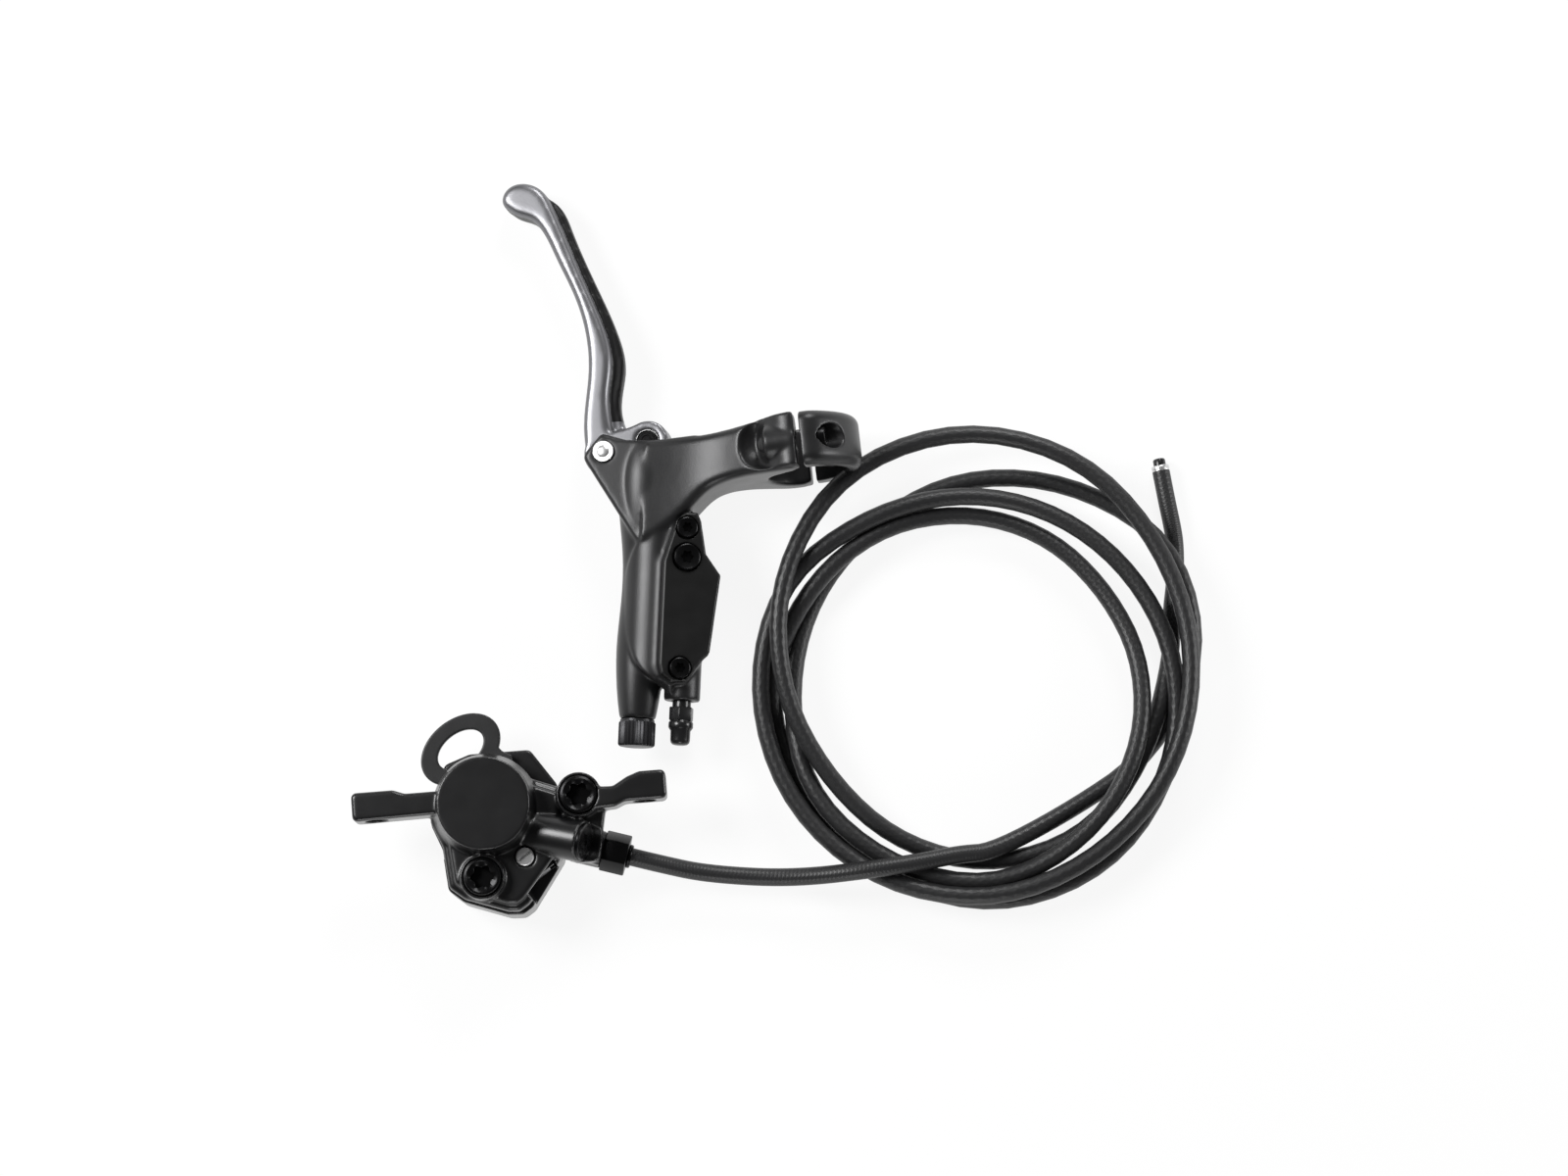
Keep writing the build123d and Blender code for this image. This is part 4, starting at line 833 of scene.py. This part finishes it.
    def build_screws(self) -> None:
        """Cover screws, bleed screw and clamp bolts with their sockets."""
        for index, at in enumerate(self.cover_screws):
            place = self.cover_place(*at, self.screw_seat)
            piece = self.cover_head.fit(f"cover_screw_head_{index}", place)
            if index == 0:
                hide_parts("cover_screws")
        place = self.cover_place(*self.bleed_screw, self.screw_seat)
        piece = self.bleed_head.fit("bleed_screw_head", place)
        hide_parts("bleed_screw")
        turn = radians(self.clamp_turn_deg)
        out = (cos(turn), sin(turn), 0.0)
        seat = [at + self.clamp_seat * step for at, step in zip(self.clamp_at, out)]
        for index, height in enumerate((self.clamp_bolt_z, -self.clamp_bolt_z)):
            place = self.local((*seat, height), out)
            piece = self.clamp_head.fit(f"clamp_bolt_head_{index}", place)
            if index == 0:
                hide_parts("clamp_bolts")

    def build(self, frame: dict) -> None:
        """Builds every piece of the lever set."""
        self.build_castings(frame)
        self.build_pin()
        self.build_barrel()
        self.build_knob()
        self.build_plug()
        self.build_screws()


@dataclass
class Caliper:
    """Caliper castings, transport spacer, bolts and port fittings."""

    bolt_spots: tuple[tuple[float, float], ...] = ((26.0, 0.9), (-1.9, -19.7))
    bolt_seat_z: float = 25.2
    bolt_head: ScrewHead = ScrewHead(5.15, 4.6, 3.4, 3.6, Socket.STAR, 0.5)
    nut_at: Point = (31.2, -13.7, 13.6)
    nut_turn_deg: float = -18.0
    nut_long: float = 7.0
    nut_flats: float = 10.0
    nut_bevel: float = 0.35
    collar_profile: Profile = (
        (0, 0),
        (3.1, 0),
        (3.3, 0.25),
        (3.3, 0.75),
        (3.05, 1.1),
        (2.6, 1.1),
        (0, 1.1),
    )
    port_at: Point = (26.0, -11.8, 25.6)
    port_turn_deg: float = -16.4
    port_rise_deg: float = 18.0
    port_head: ScrewHead = ScrewHead(5.1, 0.9, 2.3, 2.0, Socket.HEX, 0.2)

    def build_castings(self, frame: dict) -> None:
        """Skins over the two halves and the moulded spacer."""
        for skin in (
            Skin(
                "outer_casting",
                "caliper_outer_half",
                CAST_CALIPER,
                Body.SET,
                voxel=0.33,
                passes=10,
            ),
            Skin(
                "inner_casting",
                "caliper_inner_half",
                CAST_CALIPER,
                Body.SET,
                voxel=0.38,
                passes=8,
            ),
            Skin(
                "spacer_moulding",
                "transport_spacer",
                MOULDED_SPACER,
                Body.SPACER,
                voxel=0.25,
                passes=3,
            ),
        ):
            skin.build(frame)

    def build_bolts(self) -> None:
        """Deep star-socket heads of the two body bolts."""
        for index, spot in enumerate(self.bolt_spots):
            place = standing((*spot, self.bolt_seat_z), Vector((0, 0, 1)))
            piece = self.bolt_head.fit(f"body_bolt_head_{index}", place)
            if index == 0:
                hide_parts("body_bolts")

    def build_nut(self) -> None:
        """Hose nut: bevelled hexagon with a collar where the hose enters."""
        turn = radians(self.nut_turn_deg)
        out = Vector((cos(turn), sin(turn), 0))
        corner_r = self.nut_flats / 2 / cos(tau / 12)
        shape = hexagon_bar(corner_r, 0.0, self.nut_long, self.nut_bevel)
        shape.transform(standing(self.nut_at, out, Vector((0, 0, 1))))
        piece = finish_piece("hose_nut_hexagon", shape, BLACK_OXIDE, Body.SET, HEXAGON_SMOOTH_DEG)
        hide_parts("hose_nut")
        collar = spun(self.collar_profile)
        end = Vector(self.nut_at) + out * self.nut_long
        collar.transform(standing(tuple(end), out))
        finish_piece("hose_nut_collar", collar, BLACK_OXIDE, Body.SET)

    def build_port(self) -> None:
        """Plug in the bleed port: a flange with a small hexagon socket."""
        turn, rise = radians(self.port_turn_deg), radians(self.port_rise_deg)
        out = Vector((cos(rise) * cos(turn), cos(rise) * sin(turn), sin(rise)))
        place = standing(self.port_at, out, Vector((0, 0, 1)))
        piece = self.port_head.fit("port_screw_face", place)
        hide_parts("caliper_bleed_plug")

    def build(self, frame: dict) -> None:
        """Builds every piece of the caliper."""
        self.build_castings(frame)
        self.build_bolts()
        self.build_nut()
        self.build_port()


@dataclass
class Hose:
    """Free hose: lead out of the nut, four loose turns and the free tail.

    Each row of distances is one turn: how far the hose lies from the middle
    of the coil every 30 degrees, as the photo shows it. The heights are not
    given: the hose settles on the table and over its own crossings.
    """

    radius: float = 2.5
    middle: tuple[float, float] = (139.2, 27.9)
    first_deg: float = 270.0
    step_deg: float = 30.0
    lead_step_deg: float = 15.0
    fine: int = 6
    declared_m: float = 1.68
    exit_at: Point = (37.86, -15.86, 13.6)
    lead: tuple[Point, ...] = (
        (35.0, -14.9, 13.6),
        (41.0, -16.9, 13.5),
        (47.5, -18.9, 12.4),
        (56.5, -21.4, 9.0),
        (67.5, -23.3, 4.8),
        (79.0, -24.7, 3.2),
        (90.0, -25.2, 4.8),
        (101.0, -25.0, 8.8),
        (111.0, -24.4, 11.6),
        (121.0, -23.4, 12.0),
        (130.5, -22.2, 10.4),
    )
    turns: tuple[tuple[float, ...], ...] = (
        (48.5, 44.5, 51.5, 61.5, 64.8, 59.3, 55.4, 50.8, 50.2, 51.5, 56.8, 57.5),
        (58.7, 53.5, 48.6, 44.8, 42.1, 43.3, 45.3, 48.8, 52.4, 58.3, 58.2, 60.5),
        (63.8, 63.3, 59.1, 54.4, 50.8, 49.7, 50.2, 52.6, 59.5, 61.0, 62.5, 63.0),
        (62.5, 60.0, 59.3, 59.3, 61.2, 66.2, 68.1, 66.6, 60.2, 54.0, 50.0, 50.8),
        (52.4, 53.0, 50.5, 53.0),
    )
    tail: tuple[Point, ...] = (
        (195.2, 41.0, 2.55),
        (197.4, 51.0, 2.55),
        (198.2, 60.6, 2.55),
        (197.9, 66.0, 2.55),
        (196.9, 74.0, 2.55),
        (196.1, 82.1, 2.55),
    )
    # Strands as the photo shows them: the angle where each starts, and its layer
    strand_starts: tuple[float, ...] = (291.0, 632.0, 992.0, 1346.0, 1666.0, 1788.0)
    layers: tuple[int, ...] = (6, 1, 3, 4, 5, 2, 0)
    # Where a strand lies over one of a higher layer: both, and the range of angle
    tucks: tuple[tuple[int, int, float, float], ...] = ((1, 2, 181.0, 280.0),)
    # The nut holds the first points of the lead up
    held: int = 4
    # Points closer than this round the coil are on the same run
    same_run_deg: float = 150.0
    clearance: float = 0.1
    table_gap: float = 0.05
    # Each round the hose sags, straightens, and is pushed apart where it crosses
    rounds: int = 600
    sag: float = 0.3
    stiffness: float = 0.05
    lift: float = 0.6
    press: float = 0.3
    insert_profile: Profile = (
        (0, 0),
        (2.35, 0),
        (2.5, 0.15),
        (2.5, 0.55),
        (2.3, 0.7),
        (2.5, 0.85),
        (2.5, 1.4),
        (2.35, 1.6),
        (0, 1.6),
    )
    insert_long: float = 1.6
    # Fineness of the cord's mesh, round it and from point to point
    round_steps: int = 6
    run_steps: int = 5
    cap_profile: Profile = ((0, 0), (1.75, 0), (1.75, 1.6), (1.55, 1.95), (1.2, 2.1), (0, 2.1))

    def coil_plan(self) -> list[tuple[Vector, float]]:
        """Places of the turns on the table, each with its angle in degrees."""
        # The spline runs inside its points, so they stand a little further out
        reach = 1 / (0.75 + 0.25 * cos(radians(self.step_deg)))
        plan = []
        for index, away in enumerate(away for turn in self.turns for away in turn):
            angle = self.first_deg + index * self.step_deg
            out = Vector((cos(radians(angle)), sin(radians(angle))))
            plan.append((Vector(self.middle) + out * away * reach, angle))
        return plan

    def strand_at(self, angle: float) -> int:
        """Number of the strand at a total angle round the coil."""
        return sum(start <= angle for start in self.strand_starts)

    def lies_over(self, upper: float, lower: float) -> bool:
        """Tells whether the strand at one total angle lies over that at another."""
        first, second = self.strand_at(upper), self.strand_at(lower)
        for one, other, start, end in self.tucks:
            if {first, second} == {one, other} and start < upper % 360 < end:
                return first == one
        return self.layers[first] > self.layers[second]

    def crossings(self, plan: list[Vector], angles: list[float]) -> list[tuple[Spot, Spot, float]]:
        """Finds where one run of the hose lies over another.

        Args:
            plan: Places of the hose's points on the table.
            angles: Total angle of each point round the coil.

        Returns:
            For each crossing the spot on the upper run, the one on the lower
            run, and the rise that keeps the two apart.
        """
        apart = 2 * self.radius + self.clearance
        spots = []
        for k in range(1, len(plan) - 1):
            for part in range(self.fine):
                t = part / self.fine
                # Share of each point in the spline here: it is of order 3
                spot = ((k - 1, (1 - t) ** 2 / 2), (k, 0.5 + t - t * t), (k + 1, t * t / 2))
                place = sum((plan[m] * share for m, share in spot), Vector((0, 0)))
                spots.append((spot, place, sum(angles[m] * share for m, share in spot)))
        found = []
        for high, place, angle in spots:
            for low, other, bearing in spots:
                gap = (place - other).length
                near = gap < apart and abs(angle - bearing) > self.same_run_deg
                if near and self.lies_over(angle, bearing):
                    found.append((high, low, (apart * apart - gap * gap) ** 0.5))
        return found

    def settle(
        self, plan: list[Vector], angles: list[float], heights: list[float], free: range
    ) -> None:
        """Lets the hose sink to the table, stiff, and held up where it crosses itself.

        Args:
            plan: Places of the hose's points on the table.
            angles: Total angle of each point round the coil.
            heights: Height of each point, changed here.
            free: The points that may move up and down.
        """
        meetings = self.crossings(plan, angles)
        for turn in range(self.rounds):
            fall = self.sag * (1 - turn / self.rounds)
            middles = [(one + two) / 2 for one, two in zip(heights, heights[2:])]
            for k in free:
                heights[k] += self.stiffness * (middles[k - 1] - heights[k]) - fall
            for high, low, rise in meetings:
                upper = sum(heights[m] * share for m, share in high)
                lower = sum(heights[m] * share for m, share in low)
                lack = rise - (upper - lower)
                if lack > 0:
                    for spot, push in ((high, self.lift), (low, -self.press)):
                        for m, share in spot:
                            if m in free:
                                heights[m] += push * share * lack
            for k in free:
                heights[k] = max(heights[k], self.radius + self.table_gap)

    def route(self) -> list[Point]:
        """Control points of the whole hose, settled, in row millimetres."""
        coil = self.coil_plan()
        plan = [Vector(point[:2]) for point in self.lead]
        steps_before = range(len(self.lead), 0, -1)
        angles = [self.first_deg - self.lead_step_deg * count for count in steps_before]
        heights = [point[2] for point in self.lead]
        for place, angle in coil:
            plan.append(place)
            angles.append(angle)
            heights.append(2 * self.radius)
        for point in self.tail:
            plan.append(Vector(point[:2]))
            angles.append(angles[-1] + self.lead_step_deg / 2)
            heights.append(point[2])
        self.settle(plan, angles, heights, range(self.held, len(plan) - len(self.tail)))
        return [(place.x, place.y, height) for place, height in zip(plan, heights)]

    def build_fittings(self) -> list[bpy.types.Object]:
        """Bright insert and black cap on the free end."""
        last, before = Vector(self.tail[-1]), Vector(self.tail[-2])
        out = (last - before).normalized()
        insert = spun(self.insert_profile)
        insert.transform(standing(tuple(last), out))
        ring = finish_piece("hose_end_insert", insert, BRIGHT_STEEL, Body.SET)
        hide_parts("hose_insert")
        cap = spun(self.cap_profile)
        cap.transform(standing(tuple(last + out * self.insert_long), out))
        plug = finish_piece("hose_end_plug", cap, MOULDED_PLUG, Body.SET)
        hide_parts("hose_cap")
        return [ring, plug]

    def build(self) -> None:
        fittings = self.build_fittings()
        points = self.route()
        curve = bpy.data.curves.new("brake_hose", "CURVE")
        curve.dimensions = "3D"
        curve.bevel_depth = self.radius * MM
        curve.bevel_resolution = self.round_steps
        curve.use_fill_caps = True
        curve.resolution_u = self.run_steps
        spline = curve.splines.new("NURBS")
        spline.points.add(len(points) - 1)
        for slot, point in zip(spline.points, points):
            slot.co = (*(c * MM for c in point), 1.0)
        spline.order_u = 3
        spline.use_endpoint_u = True
        curve.materials.append(HOSE_JACKET.build())
        cord = bpy.data.objects.new("brake_hose", curve)
        bpy.context.scene.collection.objects.link(cord)
        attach(cord, Body.SET.value)
        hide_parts("hose_lead", "hose_coil", "hose_tail")
        tuple(c * MM for c in self.exit_at)
        LOG.info("brake_hose: %d points", len(points))


def dress_nodes(frame: dict) -> None:
    """Gives each CAD solid that stays in the scene its finish."""
    finishes = {
        BRIGHT_STEEL: ("pivot_pin", "pad_pin", "pushrod", "pushrod_barrel"),
        BLACK_RUBBER: (
            "reservoir_membrane", "primary_seal", "secondary_seal", "crossover_ring",
            "piston_seal_outer", "piston_seal_inner",
        ),
        TURNED_BRASS: ("hose_olive", "pivot_bushes"),
        TURNED_ALLOY: ("master_piston", "piston_outer", "piston_inner"),
        SPRING_STEEL: ("return_spring", "pad_spring", "stop_washer"),
        COATED_PLATE: ("pad_plate_outer", "pad_plate_inner"),
        SINTERED: ("pad_lining_outer", "pad_lining_inner"),
    }
    for finish, names in finishes.items():
        for name in names:
            node = frame["nodes"][name]
            node.data.materials.clear()
            node.data.materials.append(finish.build())


@dataclass
class Studio:
    """White table, soft lamps and the camera high above the set."""

    target: Point = (86.93, 56.14, 10.0)
    distance: float = 1250.0
    mm_per_pixel: float = 0.275
    image_wide: int = 1600
    elevation_deg: float = 82.0
    turn_deg: float = 4.45
    sensor: float = 36.0
    clip_near: float = 0.05
    clip_far: float = 20.0
    # The table and its wall are in metres
    floor_steps: int = 96
    floor_r: float = 5.0
    wall_r: float = 6.0
    wall_high: float = 1.2
    floor_at: Point = (0.1, 0.05, -0.0002)
    floor_tone: str = "#e0e0e0"
    floor_glow: float = 1.05
    shadow_share: float = 0.15
    sky_dim: float = 0.06
    lamps: tuple[tuple[str, Point, float, float], ...] = (
        ("key_left", (-520.0, 300.0, 700.0), 0.4, 7.5),
        ("back", (330.0, 900.0, 620.0), 0.4, 5.5),
        ("rim_right", (950.0, 60.0, 330.0), 0.35, 3.0),
        ("low_front", (-60.0, -900.0, 420.0), 0.4, 2.3),
    )

    def build_camera(self) -> None:
        """Camera at the photograph's place, looking down at the table."""
        turn, rise = radians(self.turn_deg), radians(self.elevation_deg)
        flat_up = Vector((sin(turn), cos(turn), 0))
        look = flat_up * cos(rise) - Vector((0, 0, 1)) * sin(rise)
        up = flat_up * sin(rise) + Vector((0, 0, 1)) * cos(rise)
        eye = (Vector(self.target) - look * self.distance) * MM
        data = bpy.data.cameras.new("camera")
        data.sensor_width = self.sensor
        data.lens = self.distance / self.mm_per_pixel * self.sensor / self.image_wide
        data.clip_start = self.clip_near
        data.clip_end = self.clip_far
        camera = bpy.data.objects.new("camera", data)
        axes = Matrix((look.cross(up), up, -look)).transposed()
        camera.matrix_world = Matrix.Translation(eye) @ axes.to_4x4()
        bpy.context.scene.collection.objects.link(camera)
        bpy.context.scene.camera = camera

    def build_floor(self) -> None:
        """Pale table top that curves up into a low white wall far away."""
        shape = bmesh.new()
        bmesh.ops.create_circle(
            shape, cap_ends=True, segments=self.floor_steps, radius=self.floor_r
        )
        rim = list(shape.edges)
        middle = (self.floor_r + self.wall_r) / 2
        rim = extrude_rim(shape, rim, level(middle, self.wall_high / 8))
        rim = extrude_rim(shape, rim, level(self.wall_r, self.wall_high / 2))
        extrude_rim(shape, rim, level(self.wall_r, self.wall_high))
        bmesh.ops.translate(shape, vec=self.floor_at, verts=shape.verts)
        mesh = bpy.data.meshes.new("table")
        shape.to_mesh(mesh)
        shape.free()
        table = bpy.data.objects.new("table", mesh)
        bpy.context.scene.collection.objects.link(table)
        material = bpy.data.materials.new("white_table")
        material.use_nodes = True
        tree = material.node_tree
        tree.nodes.clear()
        matt = add_node(tree, "ShaderNodeBsdfDiffuse", {"Color": linear(self.floor_tone)})
        lit = add_node(
            tree, "ShaderNodeEmission", {"Color": linear("#ffffff"), "Strength": self.floor_glow}
        )
        share = add_node(
            tree,
            "ShaderNodeMath",
            {"0": seen_rays(tree), "1": 1 - self.shadow_share},
            operation="MULTIPLY",
        )
        both = add_node(
            tree,
            "ShaderNodeMixShader",
            {"0": share.outputs[0], "1": matt.outputs[0], "2": lit.outputs[0]},
        )
        add_node(tree, "ShaderNodeOutputMaterial", {"Surface": both.outputs[0]})
        mesh.materials.append(material)

    def build_lamps(self) -> None:
        """Large soft lamps, the strongest from the left."""
        for name, place, size, power in self.lamps:
            data = bpy.data.lights.new(name, "AREA")
            data.shape = "DISK"
            data.size = size
            data.energy = power
            lamp = bpy.data.objects.new(name, data)
            lamp.visible_camera = False
            at = Vector(place) * MM
            aim = Vector(self.target) * MM
            lamp.matrix_world = standing(tuple(at), at - aim)
            bpy.context.scene.collection.objects.link(lamp)

    def build_world(self) -> None:
        """Dim even light from the studio's dark ceiling."""
        world = bpy.data.worlds.new("studio")
        bpy.context.scene.world = world
        world.use_nodes = True
        tree = world.node_tree
        tree.nodes.clear()
        sky = add_node(
            tree, "ShaderNodeBackground", {"Color": linear("#ffffff"), "Strength": self.sky_dim}
        )
        add_node(tree, "ShaderNodeOutputWorld", {"Surface": sky.outputs[0]})

    def build(self) -> None:
        """Builds the camera, table, lamps and world."""
        self.build_camera()
        self.build_floor()
        self.build_lamps()
        self.build_world()
        bpy.context.scene.view_settings.view_transform = "Standard"


def main() -> None:
    """Loads the frame and builds the studio, hose, lever set and caliper."""
    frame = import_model()
    Studio().build()
    Hose().build()
    LeverSet().build(frame)
    Caliper().build(frame)
    dress_nodes(frame)


if __name__ == "__main__":
    logging.basicConfig(level=logging.INFO)
    main()
